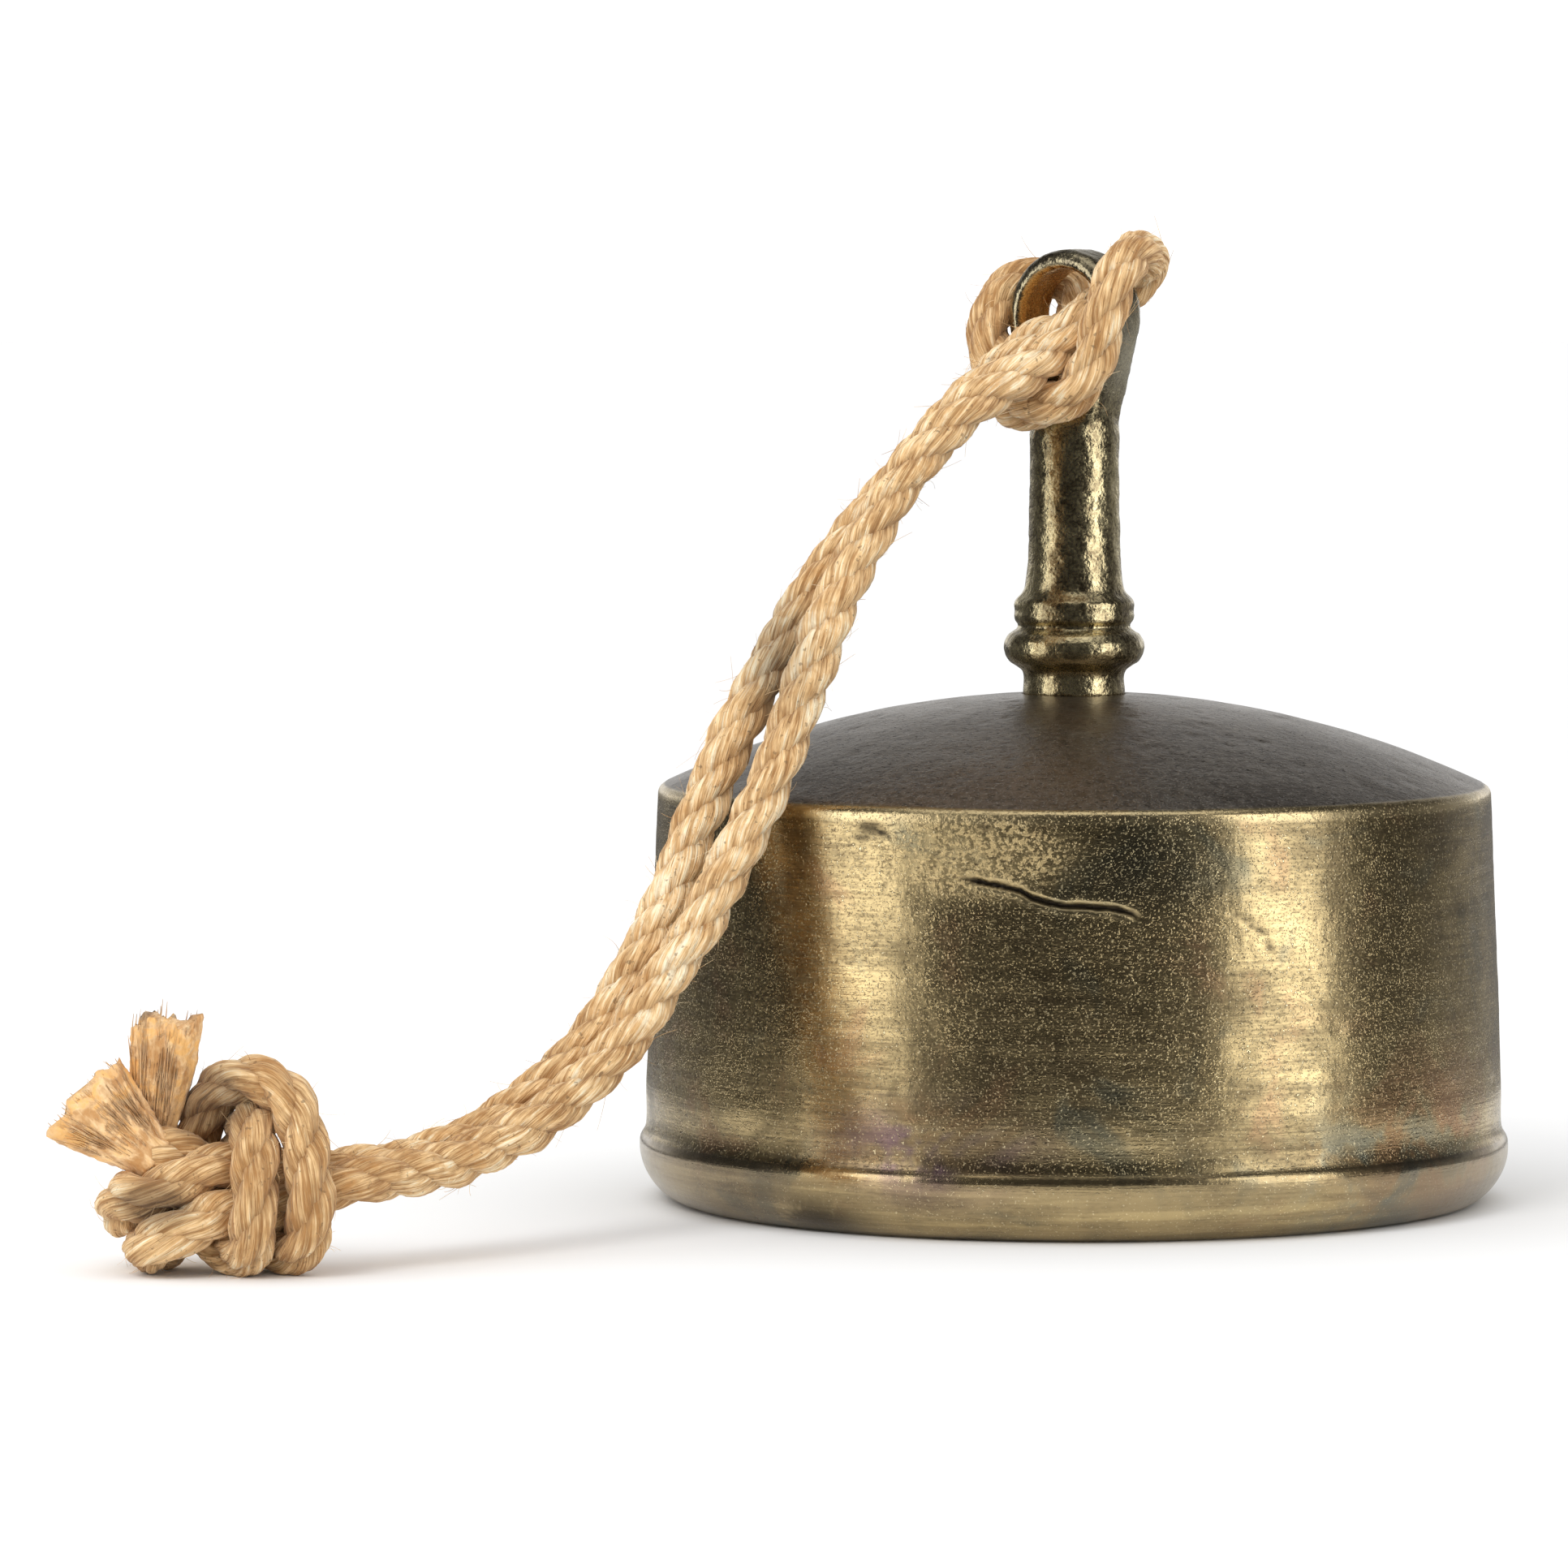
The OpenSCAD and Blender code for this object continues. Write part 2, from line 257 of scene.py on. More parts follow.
def brass_body():
    """Antique brass, turned and cast: a dark olive patina with gold grain, brushed lines and faint heat tints."""
    m, k, bsdf = new_material("antique_brass")
    pos = k.position()
    x, y = k.split(pos)[:2]
    dome, lip, inside = k.attribute("dome"), k.attribute("lip"), k.attribute("inside")
    groove, rubbed = k.attribute("groove"), k.attribute("rubbed")
    lathe = k.vector(x, y, k.attribute("along"))
    wall = k.without(k.math("MAXIMUM", dome, inside))

    wide = k.noise(pos, 30, 3, 0.6)
    patch = k.noise(pos, 85, 4, 0.62, 0.6)
    fine = k.noise(pos, 900, 2, 0.6)
    coarse = k.noise(pos, 1750, 3, 0.6)
    dots = k.noise(pos, 3600, 1, 0.4)
    grain = k.stretched(lathe, (1100, 1100, 2900), 1.5, 0.5)
    lines = k.stretched(lathe, (90, 90, 2600), 3, 0.6)
    broad_lines = k.stretched(lathe, (24, 24, 520), 3, 0.6)
    # a wide rubbed patch above the casting flaw
    patch_area = k.spot((-0.0150, -0.056, 0.0515), (0.0200, 0.03, 0.0085))
    patch_gold = k.times(patch_area, k.ramp(grain, 0.34, 0.56))
    speckle = k.times(k.ramp(patch_area, 0.08, 0.55), k.ramp(coarse, 0.48, 0.64))

    # the share of worn gold against dark patina
    worn = k.total((wide, 0.55), (patch, 0.55), (lines, 0.34, 0.5), (broad_lines, 0.26, 0.5), (grain, 0.20, 0.5),
                   (lip, 0.16), (patch_gold, 0.45))
    gold_share = k.ramp(worn, 0.36, 0.80)
    metal = k.mix(gold_share, (0.175, 0.132, 0.068), (0.56, 0.43, 0.215))
    # tints in the patina, of which the last three are spots above the lip
    tint = k.noise(pos, 60, 3, 0.6, 0.8)
    metal = k.layers(
        metal,
        ((0.125, 0.150, 0.120), k.ramp(tint, 0.55, 0.72), 0.50),
        ((0.34, 0.19, 0.10), k.ramp(tint, 0.44, 0.30), 0.40),
        ((0.210, 0.125, 0.160), k.patchy((-0.021, -0.055, 0.012), (0.022, 0.02, 0.010), tint, 0.36, 0.52), 0.85),
        ((0.15, 0.20, 0.19), k.patchy((0.040, -0.043, 0.008), (0.030, 0.03, 0.016), patch, 0.44, 0.60), 0.7),
        ((0.46, 0.24, 0.12), k.patchy((0.048, -0.036, 0.012), (0.026, 0.03, 0.020), patch, 0.56, 0.42), 0.7))
    # grains and edges that stand proud are rubbed bright, a painted shadow lies beside the rubbed patch, and the
    # pits hold dirt
    metal = k.layers(
        metal,
        ((0.92, 0.78, 0.48), k.times(k.ramp(dots, 0.65, 0.74), wall), 0.75),
        ((0.78, 0.62, 0.34), rubbed, 0.6),
        ((0.72, 0.54, 0.26), speckle, 0.7),
        # painted shadow: a dark spot beside the rubbed patch
        ((0.070, 0.078, 0.062), k.patchy((0.011, -0.057, 0.05), (0.017, 0.03, 0.0095), patch, 0.36, 0.56), 0.65))
    dirt = k.times(k.times(k.ramp(grain, 0.36, 0.26), k.without(lip, 0.7)), 0.30)
    metal = k.mix(k.math("MAXIMUM", dirt, groove), metal, (0.030, 0.022, 0.014))
    # the lip is painted darker towards its sides as painted shade, and darker still at its lower left
    sides = k.total((k.ramp(x, 0.030, 0.046), 1), (k.ramp(x, -0.034, -0.044), 1))
    metal = k.layers(
        metal,
        # painted shade on the lip's sides
        ((0.160, 0.135, 0.110), k.times(lip, sides), 0.55),
        ((0.170, 0.125, 0.075), k.times(lip, k.ramp(broad_lines, 0.62, 0.42)), 0.34),
        ((0.030, 0.022, 0.015), k.patchy((-0.036, -0.047, 0.002), (0.013, 0.02, 0.0055), patch, 0.36, 0.5), 0.9))
    # the dome is a darker satin brown with dark pits and pale specks, and browner in front of the stem
    dome_tone = k.total((wide, 0.5), (fine, 0.5))
    dome_metal = k.layers(
        k.mix(k.ramp(dome_tone, 0.38, 0.62), (0.155, 0.128, 0.100), (0.290, 0.250, 0.205)),
        ((0.050, 0.040, 0.030), k.ramp(grain, 0.42, 0.32), 0.75),
        ((0.62, 0.58, 0.52), k.ramp(dots, 0.66, 0.76), 0.6),
        ((0.165, 0.098, 0.050), k.patchy((0.002, -0.024, 0.068), (0.013, 0.045, 0.02), patch, 0.34, 0.58), 0.55))
    metal = k.mix(dome, metal, dome_metal)
    raw_metal = k.mix(k.ramp(patch, 0.35, 0.7), (0.110, 0.084, 0.048), (0.360, 0.270, 0.145))
    metal = k.mix(inside, metal, raw_metal)
    # rubbed specks and the raw casting inside scatter some light
    dull = k.math("MAXIMUM", k.times(speckle, 0.34), k.times(inside, 0.40))
    rough = k.math("ADD", 0.17, k.total((fine, 0.12), (k.without(gold_share), 0.07), (dome, 0.08),
                                        (patch_area, 0.22), (groove, 0.3), (inside, 0.18)))

    # sparse cast grain, softer on the lip, with brushed lines over it
    cast = k.total((k.ramp(dots, 0.58, 0.74), 1), (k.ramp(grain, 0.42, 0.28), -0.6))
    cast = k.total((k.times(cast, k.without(lip, 0.8)), 1), (speckle, 1.5))
    normal = k.bump(cast, 0.8, 0.000038)
    normal = k.bump(lines, 0.6, 0.00004, normal)
    uneven = k.total((patch, 1), (fine, k.ramp(dome, 0, 1, 0.12, 0.85)))
    normal = k.bump(uneven, 0.35, 0.0004, normal)
    k.fill(bsdf, {"Base Color": metal, "Metallic": k.without(dull), "Roughness": rough, "Coat Weight": 0.15,
                  "Coat Roughness": 0.30, "Normal": normal})
    return m


def brass_stem():
    """Rough cast brass, dark brown in the hollows and greenish gold on what stands proud."""
    m, k, bsdf = new_material("stem_brass")
    pos = k.position()
    wide = k.noise(pos, 90, 4, 0.6, 0.4)
    lumps = k.noise(pos, 620, 3, 0.6)
    grain = k.noise(pos, 2600, 2, 0.5)
    share = k.ramp(k.total((wide, 0.5), (lumps, 0.35), (grain, 0.3)), 0.40, 0.70)
    # the eye is painted darker and greyer from its height up as painted shade, its right flank carries a pale
    # painted highlight that is also less metallic, and its hole is golden
    # a painted highlight on the eye's right flank
    pale = k.spot((0.0085, -0.006, 0.1145), (0.0058, 0.012, 0.0125))
    metal = k.layers(
        k.mix(share, (0.145, 0.105, 0.055), (0.72, 0.61, 0.35)),
        # painted shade: the eye darker and greyer from its height up
        ((0.205, 0.178, 0.132), k.ramp(k.split(pos)[2], 0.1085, 0.1135), 0.55),
        ((0.60, 0.56, 0.43), pale, 0.75),
        ((0.62, 0.36, 0.11), k.attribute("hole"), 0.8))
    normal = k.bump(grain, 0.55, 0.00012, k.bump(lumps, 0.5, 0.00025))
    k.fill(bsdf, {"Base Color": metal, "Metallic": k.without(pale, 0.50),
                  "Roughness": k.math("ADD", 0.16, k.times(grain, 0.22)), "Coat Weight": 0.2,
                  "Coat Roughness": 0.30, "Normal": normal})
    return m


def brass_clapper():
    """Satin brass, a little tarnished."""
    m, k, bsdf = new_material("clapper_brass")
    pos = k.position()
    wide = k.noise(pos, 120, 4, 0.6, 0.3)
    grain = k.noise(pos, 2400, 2, 0.5)
    share = k.ramp(k.total((wide, 0.7), (grain, 0.35)), 0.35, 0.75)
    k.fill(bsdf, {"Base Color": k.mix(share, (0.16, 0.115, 0.055), (0.58, 0.44, 0.20)), "Metallic": 1.0,
                  "Roughness": k.math("ADD", 0.24, k.times(wide, 0.25)),
                  "Normal": k.bump(k.total((grain, 1), (wide, 1.5)), 0.5, 0.0001)})
    return m


def steel():
    """Zinc-plated steel with brown tarnish."""
    m, k, bsdf = new_material("steel")
    pos = k.position()
    wide = k.noise(pos, 160, 4, 0.6, 0.3)
    scratch = k.stretched(pos, (300, 300, 3000), 2, 0.6)
    tarnish = k.times(k.ramp(wide, 0.55, 0.75), 0.55)
    k.fill(bsdf, {"Base Color": k.mix(tarnish, (0.50, 0.51, 0.52), (0.27, 0.20, 0.15)), "Metallic": 1.0,
                  "Roughness": k.math("ADD", 0.26, k.times(wide, 0.3)),
                  "Normal": k.bump(k.total((scratch, 1), (wide, 1)), 0.4, 0.00008)})
    return m


def leather():
    """Plain tanned leather with a pebbled face."""
    m, k, bsdf = new_material("leather")
    pos = k.position()
    pebble = k.node("TexVoronoi")
    k.fill(pebble, {"Vector": pos, "Scale": 1500})
    wide = k.noise(pos, 250, 3, 0.6)
    k.fill(bsdf, {"Base Color": k.mix(wide, (0.10, 0.045, 0.018), (0.24, 0.12, 0.05)), "Roughness": 0.62,
                  "Normal": k.bump(pebble.outputs["Distance"], 0.6, 0.00015)})
    return m


def jute():
    """Laid jute: fine fibres that run along the yarns, pale on the crowns, with painted shade that browns it between
    the strands.
    """
    m, k, bsdf = new_material("jute")
    fibre, deep, pos = k.attribute("fibre", "Vector"), k.attribute("deep"), k.position()
    streak = k.stretched(fibre, (1.7, 1.7, 0.17), 3, 0.6, 0.3)
    hair = k.stretched(fibre, (6.0, 6.0, 0.30), 2, 0.6, 0.2)
    blotch = k.noise(pos, 150, 3, 0.6)
    wide = k.noise(pos, 34, 2, 0.5)
    tone = k.total((streak, 0.62), (hair, 0.38), (blotch, 0.38, 0.5), (wide, 0.30, 0.5))
    shade = k.mix(k.ramp(tone, 0.34, 0.60), (0.40, 0.200, 0.068), (0.92, 0.63, 0.32))
    shade = k.mix(k.ramp(tone, 0.52, 0.68), shade, (1.0, 0.89, 0.64))
    # soil at two places of the knot and one of the legs
    soil = k.total((k.spot((-0.1135, -0.085, 0.0225), (0.0085, 0.022, 0.0075)), 1),
                   (k.spot((-0.1205, -0.095, 0.0095), (0.0075, 0.020, 0.0042)), 1),
                   (k.spot((-0.0400, -0.030, 0.0750), (0.0085, 0.02, 0.0150)), 0.7))
    soil = k.math("MULTIPLY", soil, 1.7, clamp=True)
    # rusty blotches, dark specks, the soil, and painted shade in the gaps between the strands
    shade = k.layers(
        shade,
        ((0.60, 0.32, 0.115), k.ramp(k.noise(pos, 310, 3, 0.65, 0.5), 0.52, 0.66), 0.42),
        ((0.170, 0.095, 0.042), k.ramp(k.noise(pos, 1150, 2, 0.5), 0.64, 0.72), 0.6),
        ((0.125, 0.075, 0.038), soil, k.ramp(streak, 0.35, 0.52, 1.0, 0.65)),
        # painted shade where the rope lies deep, between its strands and yarns
        ((0.26, 0.130, 0.050), deep, 0.55))
    k.fill(bsdf, {"Base Color": shade, "Roughness": 0.80, "Specular IOR Level": 0.18, "Sheen Weight": 0.12,
                  "Sheen Roughness": 0.5, "Normal": k.bump(k.total((streak, 1), (hair, 0.8)), 1.0, 0.00035)})
    return m


def frayed():
    """The glued, frayed ends: golden fibres matted together, darker and more orange than the rope."""
    m, k, bsdf = new_material("frayed_jute")
    fibre, tipped, pos = k.attribute("fibre", "Vector"), k.attribute("deep"), k.position()
    streak = k.stretched(fibre, (1.5, 1.5, 0.30), 3, 0.65, 1.2)
    blotch = k.noise(pos, 300, 3, 0.6, 0.6)
    tone = k.total((streak, 0.45), (blotch, 0.75))
    shade = k.mix(k.ramp(tone, 0.46, 0.72), (0.56, 0.285, 0.095), (0.93, 0.66, 0.36))
    amber = k.ramp(tipped, 0.1, 0.7, 0.35, 0.8)
    shade = k.layers(shade, ((0.84, 0.44, 0.11), amber, k.ramp(blotch, 0.46, 0.60)))
    relief = k.total((streak, 1), (k.noise(pos, 900, 3, 0.6), 1))
    k.fill(bsdf, {"Base Color": shade, "Roughness": 0.55, "Specular IOR Level": 0.45, "Sheen Weight": 0.2,
                  "Normal": k.bump(relief, 0.9, 0.00022)})
    return m


JUTE, FRAYED = jute(), frayed()
BODY_BRASS, STEM_BRASS, CLAPPER_BRASS = brass_body(), brass_stem(), brass_clapper()
STEEL, LEATHER = steel(), leather()


# -------- rope
HOLE_Z = 121.7
TURN = math.radians(-38)


def turned(p):
    """Points of the world as the turned eye's along, out and up, or back again: it undoes itself."""
    p = np.asarray(p, float)
    c, s = math.cos(TURN), math.sin(TURN)
    return np.stack([p[..., 0] * c + p[..., 1] * s, p[..., 0] * s - p[..., 1] * c, p[..., 2]], axis=-1)


def from_eye(q):
    """Points in the eye's own frame (along the ring, out of its front, up from its hole) as points of the world."""
    return turned(q) + [0, 0, HOLE_Z]


# The same routes as the CAD tubes, in millimetres
HITCH = [
    [-2.4, 29, -16.5], [-1.4, 25, -13.3], [-0.2, 20.5, -10.3], [0.8, 15.5, -8.2], [2, 10.5, -6.5],
    [3.6, 5, -2.5], [3.2, 1.5, 0], [3.3, -2, 1.8], [4.5, -6, 3.5], [7.5, -6.8, 7], [9.5, -3, 9.5],
    [10.4, 1.5, 9], [10.8, 5.5, 5.5], [10.4, 7.5, 0.5], [9.4, 7.8, -4], [7.4, 8.8, -8.6], [4.5, 9.2, -11.5],
    [1, 9, -12.8], [-3.5, 7.8, -12.4], [-8.5, 6.5, -8.5], [-12, 4.4, -2.5], [-12.8, 1, 2.5],
    [-11.8, -3.5, 5.3], [-8.8, -7, 6], [-5, -8, 4], [-2.4, -6, 0], [-1.6, -2, -2.7], [-1.8, 2.5, -4],
    [-2.6, 6.5, -5.5], [-3.5, 10.5, -7.4], [-4.8, 15, -9.9], [-5.9, 19.3, -12.9], [-6.5, 23, -16.2]]
LEG_A = [
    [-24.9, -18.3, 98.9], [-30.5, -22.9, 92.5], [-37, -28, 84], [-41.7, -31.2, 75.5], [-46.5, -34, 67],
    [-50, -35.5, 58.5], [-52.5, -38.2, 52.5], [-54.5, -41.6, 46.5], [-57, -45.6, 40.5], [-60.5, -49.5, 34.5],
    [-65, -53.5, 27], [-71.5, -59, 21], [-80.5, -67.5, 15], [-90, -75.5, 12.5], [-98.5, -83, 12]]
LEG_B = [
    [-24.9, -25.8, 98.9], [-29, -29.5, 92], [-33.2, -34, 84], [-36.3, -38, 75], [-39.5, -41.2, 66.5],
    [-42.5, -43.7, 58.5], [-46, -46.5, 51.5], [-49.5, -49, 45], [-52.7, -51.4, 39], [-57, -54.5, 33],
    [-61, -58, 26.5], [-67.5, -63.5, 20.5], [-76.5, -72, 15], [-86, -80, 12.3], [-97, -89.5, 12]]
# The doubled overhand knot, about a point of the table 112 mm left of the bell's axis and 88 mm in front of it
KNOT = np.array([-112.0, -88.0, 0.0])
KNOT_A = [
    [8, 2, 12], [0, 2, 12.5], [-6, -1, 13.3], [-11, -3, 13], [-14, -1, 10.5], [-12, 2.5, 7.5], [-5, 7, 8],
    [0, 9, 13], [2, 6, 18.5], [4, 0, 19.5], [4, -5.5, 16], [4.6, -7.5, 10], [3.5, -6.5, 4.5], [1.5, -2, 3.1],
    [-2, 2, 5], [-4, 5, 9], [-6, 4, 13], [-6.5, 2.3, 17]]
KNOT_B = [
    [8, -1.5, 9], [0, -2.5, 8.5], [-4, -6, 7.5], [-8, -7, 5], [-10.5, -4.5, 3.3], [-9, 0, 3.1], [-6, 5, 5],
    [-4.5, 8, 11], [-4, 7, 17], [-1, 3.5, 22.5], [4.5, -0.5, 24], [9, -3, 21], [11.5, -5, 15], [12, -6, 9.5],
    [10.5, -5, 4.5], [8, -1, 3.1], [3, 5, 3.5], [1, 8, 8], [-4, 3, 12], [-10.2, 0.3, 13.6]]
BIGHT = 17

half_a = np.vstack([from_eye(HITCH[BIGHT:]), LEG_A, KNOT + KNOT_A])
half_b = np.vstack([from_eye(HITCH[BIGHT::-1]), LEG_B, KNOT + KNOT_B])

# The eye as the rope meets it: a band with rounded edges, and the shaft below it
BAND_R, BAND_HALF_WIDTH, BAND_HALF_THICK, BAND_ROUNDING = 7.85, 1.1, 3.4, 0.2
SHAFT_R, SHAFT_TOP = 6.0, HOLE_Z - 7
SHELL_DOME_Z, SHELL_DOME_R = -62.98, 133.0


def ring_distance(p):
    """How far points are outside the eye, its neck and the shaft, roughly, with the direction away from them."""
    a, b, h = turned(p - [0, 0, HOLE_Z]).T
    radius = np.hypot(a, h)
    dr = radius - BAND_R
    qr, qb = np.abs(dr) - BAND_HALF_WIDTH, np.abs(b) - BAND_HALF_THICK
    band = np.hypot(np.maximum(qr, 0), np.maximum(qb, 0)) + np.minimum(np.maximum(qr, qb), 0) - BAND_ROUNDING
    side_r = np.where(qr > 0, np.sign(dr) * np.maximum(qr, 0), np.where(qr > qb, np.sign(dr), 0))
    side_b = np.where(qb > 0, np.sign(b) * np.maximum(qb, 0), np.where(qb >= qr, np.sign(b), 0))
    g = np.column_stack([side_r * a / (radius + 1e-9), side_b, side_r * h / (radius + 1e-9)])
    g /= np.linalg.norm(g, axis=1)[:, None] + 1e-9
    flat = np.hypot(p[:, 0], p[:, 1])
    shaft = np.where(p[:, 2] < SHAFT_TOP, flat - SHAFT_R, 1e9)
    from_axis = np.column_stack([p[:, 0] / (flat + 1e-9), p[:, 1] / (flat + 1e-9), 0 * flat])
    near = shaft < band
    return np.where(near, shaft, band), np.where(near[:, None], from_axis, turned(g))


def shell_distance(p):
    """How far points are outside the bell's wall and dome, roughly, with the direction away from them."""
    flat = np.hypot(p[:, 0], p[:, 1])
    wall = flat - np.interp(p[:, 2], [0, 8, 14, 57], [55, 60, 59.2, 57.4])
    d = p - [0, 0, SHELL_DOME_Z]
    far = np.linalg.norm(d, axis=1)
    dome = far - SHELL_DOME_R
    from_axis = np.column_stack([p[:, 0] / flat, p[:, 1] / flat, 0 * flat])
    above = dome > wall
    return np.where(above, dome, wall), np.where(above[:, None], d / far[:, None], from_axis)


# Settling: how many rounds, how close two parts of the rope may lie, and how low its middle line may go
ROUNDS, TOUCHING, LOWEST = 420, 6.15, 3.05
# Nodes nearer than this along the rope never push each other apart
SAME_STRETCH = 11
CLEARANCES = ((ring_distance, 3.0), (shell_distance, 3.15))


def settled(line, step):
    """Lets the rope push itself apart where it touches, stay outside the brass and lie on the table."""
    guide, p = line.copy(), line.copy()
    nodes = np.arange(len(p))
    apart = np.abs(np.subtract.outer(nodes, nodes)) * step > SAME_STRETCH
    for _ in range(ROUNDS):
        # a weak pull to the route, and the rope's own stiffness
        p += 0.02 * (guide - p)
        bend = np.zeros_like(p)
        bend[1:-1] = (p[:-2] + p[2:]) / 2 - p[1:-1]
        bend[2:-2] -= 0.5 * ((bend[1:-3] + bend[3:-1]) / 2 - bend[2:-2])
        p += 0.22 * bend
        # its length between nodes stays the same
        for first in (0, 1):
            a, b = p[first:-1:2], p[first + 1::2]
            d = b - a
            far = np.linalg.norm(d, axis=1)[:, None]
            fix = 0.4 * (far - step) * d / far
            a += fix
            b -= fix
        gap = p[:, None] - p[None]
        far = np.linalg.norm(gap, axis=2) + 1e-9
        close = apart & (far < TOUCHING)
        push = np.where(close, (TOUCHING - far) / far, 0)[:, :, None] * gap
        count = close.sum(1)[:, None]
        p += 0.5 * push.sum(1) / np.maximum(count, 1) * np.minimum(count, 1)
        for distance, clearance in CLEARANCES:
            d, away = distance(p)
            p += np.maximum(clearance - d, 0)[:, None] * away * 0.8
        p[:, 2] = np.maximum(p[:, 2], LOWEST)
    return p


# Distances between the nodes of the settling line and of the drawn one
STEP, FINE = 1.5, 0.45
guide_a, guide_b = spline(half_a, STEP), spline(half_b, STEP)
whole = settled(np.vstack([guide_b[::-1], guide_a[1:]]), STEP)
bight = whole[len(guide_b) - 1]
line = spline(whole, FINE)
middle = int(np.argmin(np.linalg.norm(line - bight, axis=1)))
tangent, normal, side = carried_frames(line)
run = np.r_[0, np.cumsum(np.linalg.norm(np.diff(line, axis=0), axis=1))]

STRANDS, YARNS, YARN_SIDES = 3, 7, 28
# Length of one turn of the lay, radius of the strands' helix and of one strand
LAY, HELIX_R, STRAND_R = 20.0, 1.10, 2.18


def noise_along(y, z, size, seed):
    """Noise along the rope, another for each y and z."""
    return value_noise(np.column_stack([run, np.full(len(run), float(y)), np.full(len(run), float(z))]), size, seed)


def strand_points(strand):
    """Rings of points round one strand of the whole rope, with its fibre coordinates and how deep each lies."""
    turn = 2 * np.pi * (run / LAY + strand / STRANDS)
    radius = STRAND_R * (1 + 0.06 * noise_along(31 * strand, 0, 9.0, 3))
    helix = HELIX_R * (1 + 0.12 * noise_along(0, 17 * strand, 14.0, 5))
    centre = line + helix[:, None] * (np.cos(turn)[:, None] * normal + np.sin(turn)[:, None] * side)
    twist = -0.62 * turn
    phi = 2 * np.pi * np.arange(YARN_SIDES) / YARN_SIDES
    # each yarn shows as a lobe, and swells and thins along the rope
    lobe = np.sqrt(np.abs(np.cos(YARNS * phi / 2)))
    yarn = (np.floor(YARNS * phi / (2 * np.pi) + 0.5) % YARNS).astype(int)
    swell = np.stack([noise_along(5 * y, 40 * strand, 4.0, 11) for y in range(YARNS)], axis=1)[:, yarn]
    r = radius[:, None] - 0.20 + 0.22 * lobe[None] + 0.13 * swell
    angle = twist[:, None] + phi[None]
    outward = np.cos(angle)[..., None] * normal[:, None] + np.sin(angle)[..., None] * side[:, None]
    pts = centre[:, None] + r[..., None] * outward
    flat = pts.reshape(-1, 3)
    rough = 0.08 * value_noise(flat, 0.6, 19 + strand) + 0.14 * value_noise(flat, 2.3, 23 + strand)
    pts = pts + rough.reshape(r.shape)[..., None] * outward
    # the rope lies flat where it rests on the table
    pts[..., 2] = np.maximum(pts[..., 2], 0.03)
    out = np.linalg.norm(pts - line[:, None], axis=2)
    # how deep each point lies, which the jute paints as shade between the strands and yarns
    deep = np.clip((2.85 - out) / 0.7, 0, 1) + 0.40 * (1 - lobe)[None] * (out > 2.0)
    fibre = np.stack(np.broadcast_arrays(
        2.05 * np.cos(phi)[None], 2.05 * np.sin(phi)[None] + 11.0 * strand, run[:, None]), axis=2)
    return pts, fibre, np.clip(deep, 0, 1)


strands = [strand_points(k) for k in range(STRANDS)]
HAIR_NODES, HAIR_SIDES = 6, 3


def hairs(first, last, count):
    """Loose fibres that stand off the rope's surface, as thin three-sided tubes."""
    verts, faces, fibres = [], [], []
    per_hair = HAIR_NODES * HAIR_SIDES
    for _ in range(count):
        pts = strands[rng.integers(STRANDS)][0]
        i = int(rng.integers(first + 4, last - 4))
        root = pts[i, int(rng.integers(YARN_SIDES))]
        out = root - line[i]
        # a fibre starts only on the rope's outside
        if np.linalg.norm(out) < 2.6:
            continue
        out /= np.linalg.norm(out)
        way = tangent[i] * rng.choice([-1, 1]) + 0.5 * rng.normal(size=3)
        way -= (way @ out) * out
        way /= np.linalg.norm(way)
        long = rng.uniform(0.8, 3.4)
        lift = rng.uniform(0.08, 0.7)
        curl = rng.normal(size=3) * 0.35
        t = np.linspace(0, 1, HAIR_NODES)[:, None]
        hair = root - 0.1 * out + long * (t * (way + lift * out) + t * t * curl)
        hair[:, 2] = np.maximum(hair[:, 2], 0.1)
        thick = rng.uniform(0.028, 0.05) * np.linspace(1, 0.5, HAIR_NODES)
        u = np.cross(way, out)
        ring = [hair + thick[:, None] * (math.cos(a) * u + math.sin(a) * out) for a in (0, 2.09, 4.19)]
        faces += tube_faces(HAIR_NODES, HAIR_SIDES, len(verts) * per_hair)
        verts.append(np.stack(ring, axis=1).reshape(-1, 3))
        fibres.append(np.column_stack([np.full(per_hair, rng.uniform(0, 9)), np.full(per_hair, rng.uniform(0, 9)),
                                       np.linspace(0, long, HAIR_NODES).repeat(HAIR_SIDES)]))
    return np.vstack(verts), faces, np.vstack(fibres)


def rope_piece(name, first, last, hair_count):
    """The rope between two nodes of its line, and the loose fibres on it."""
    verts, faces, fibres, deep = [], [], [], []
    for pts, fibre, depth in strands:
        part = pts[first:last + 1]
        faces += tube_faces(len(part), YARN_SIDES, sum(len(v) for v in verts))
        verts.append(part.reshape(-1, 3))
        fibres.append(fibre[first:last + 1].reshape(-1, 3))
        deep.append(depth[first:last + 1].ravel())
    obj = mesh_object(name, np.vstack(verts), faces, JUTE,
                      floats={"deep": np.concatenate(deep)}, vectors={"fibre": np.vstack(fibres)})
    v, f, fibre = hairs(first, last, hair_count)
    fuzz = mesh_object(name + "_fuzz", v, f, JUTE, floats={"deep": np.zeros(len(v))}, vectors={"fibre": fibre})
    return obj, fuzz


# A frayed end's body: its rings and the points round each. The fibres over it: nodes and sides of each
END_RINGS, END_SIDES, FRAY_NODES, FRAY_SIDES = 34, 96, 8, 4


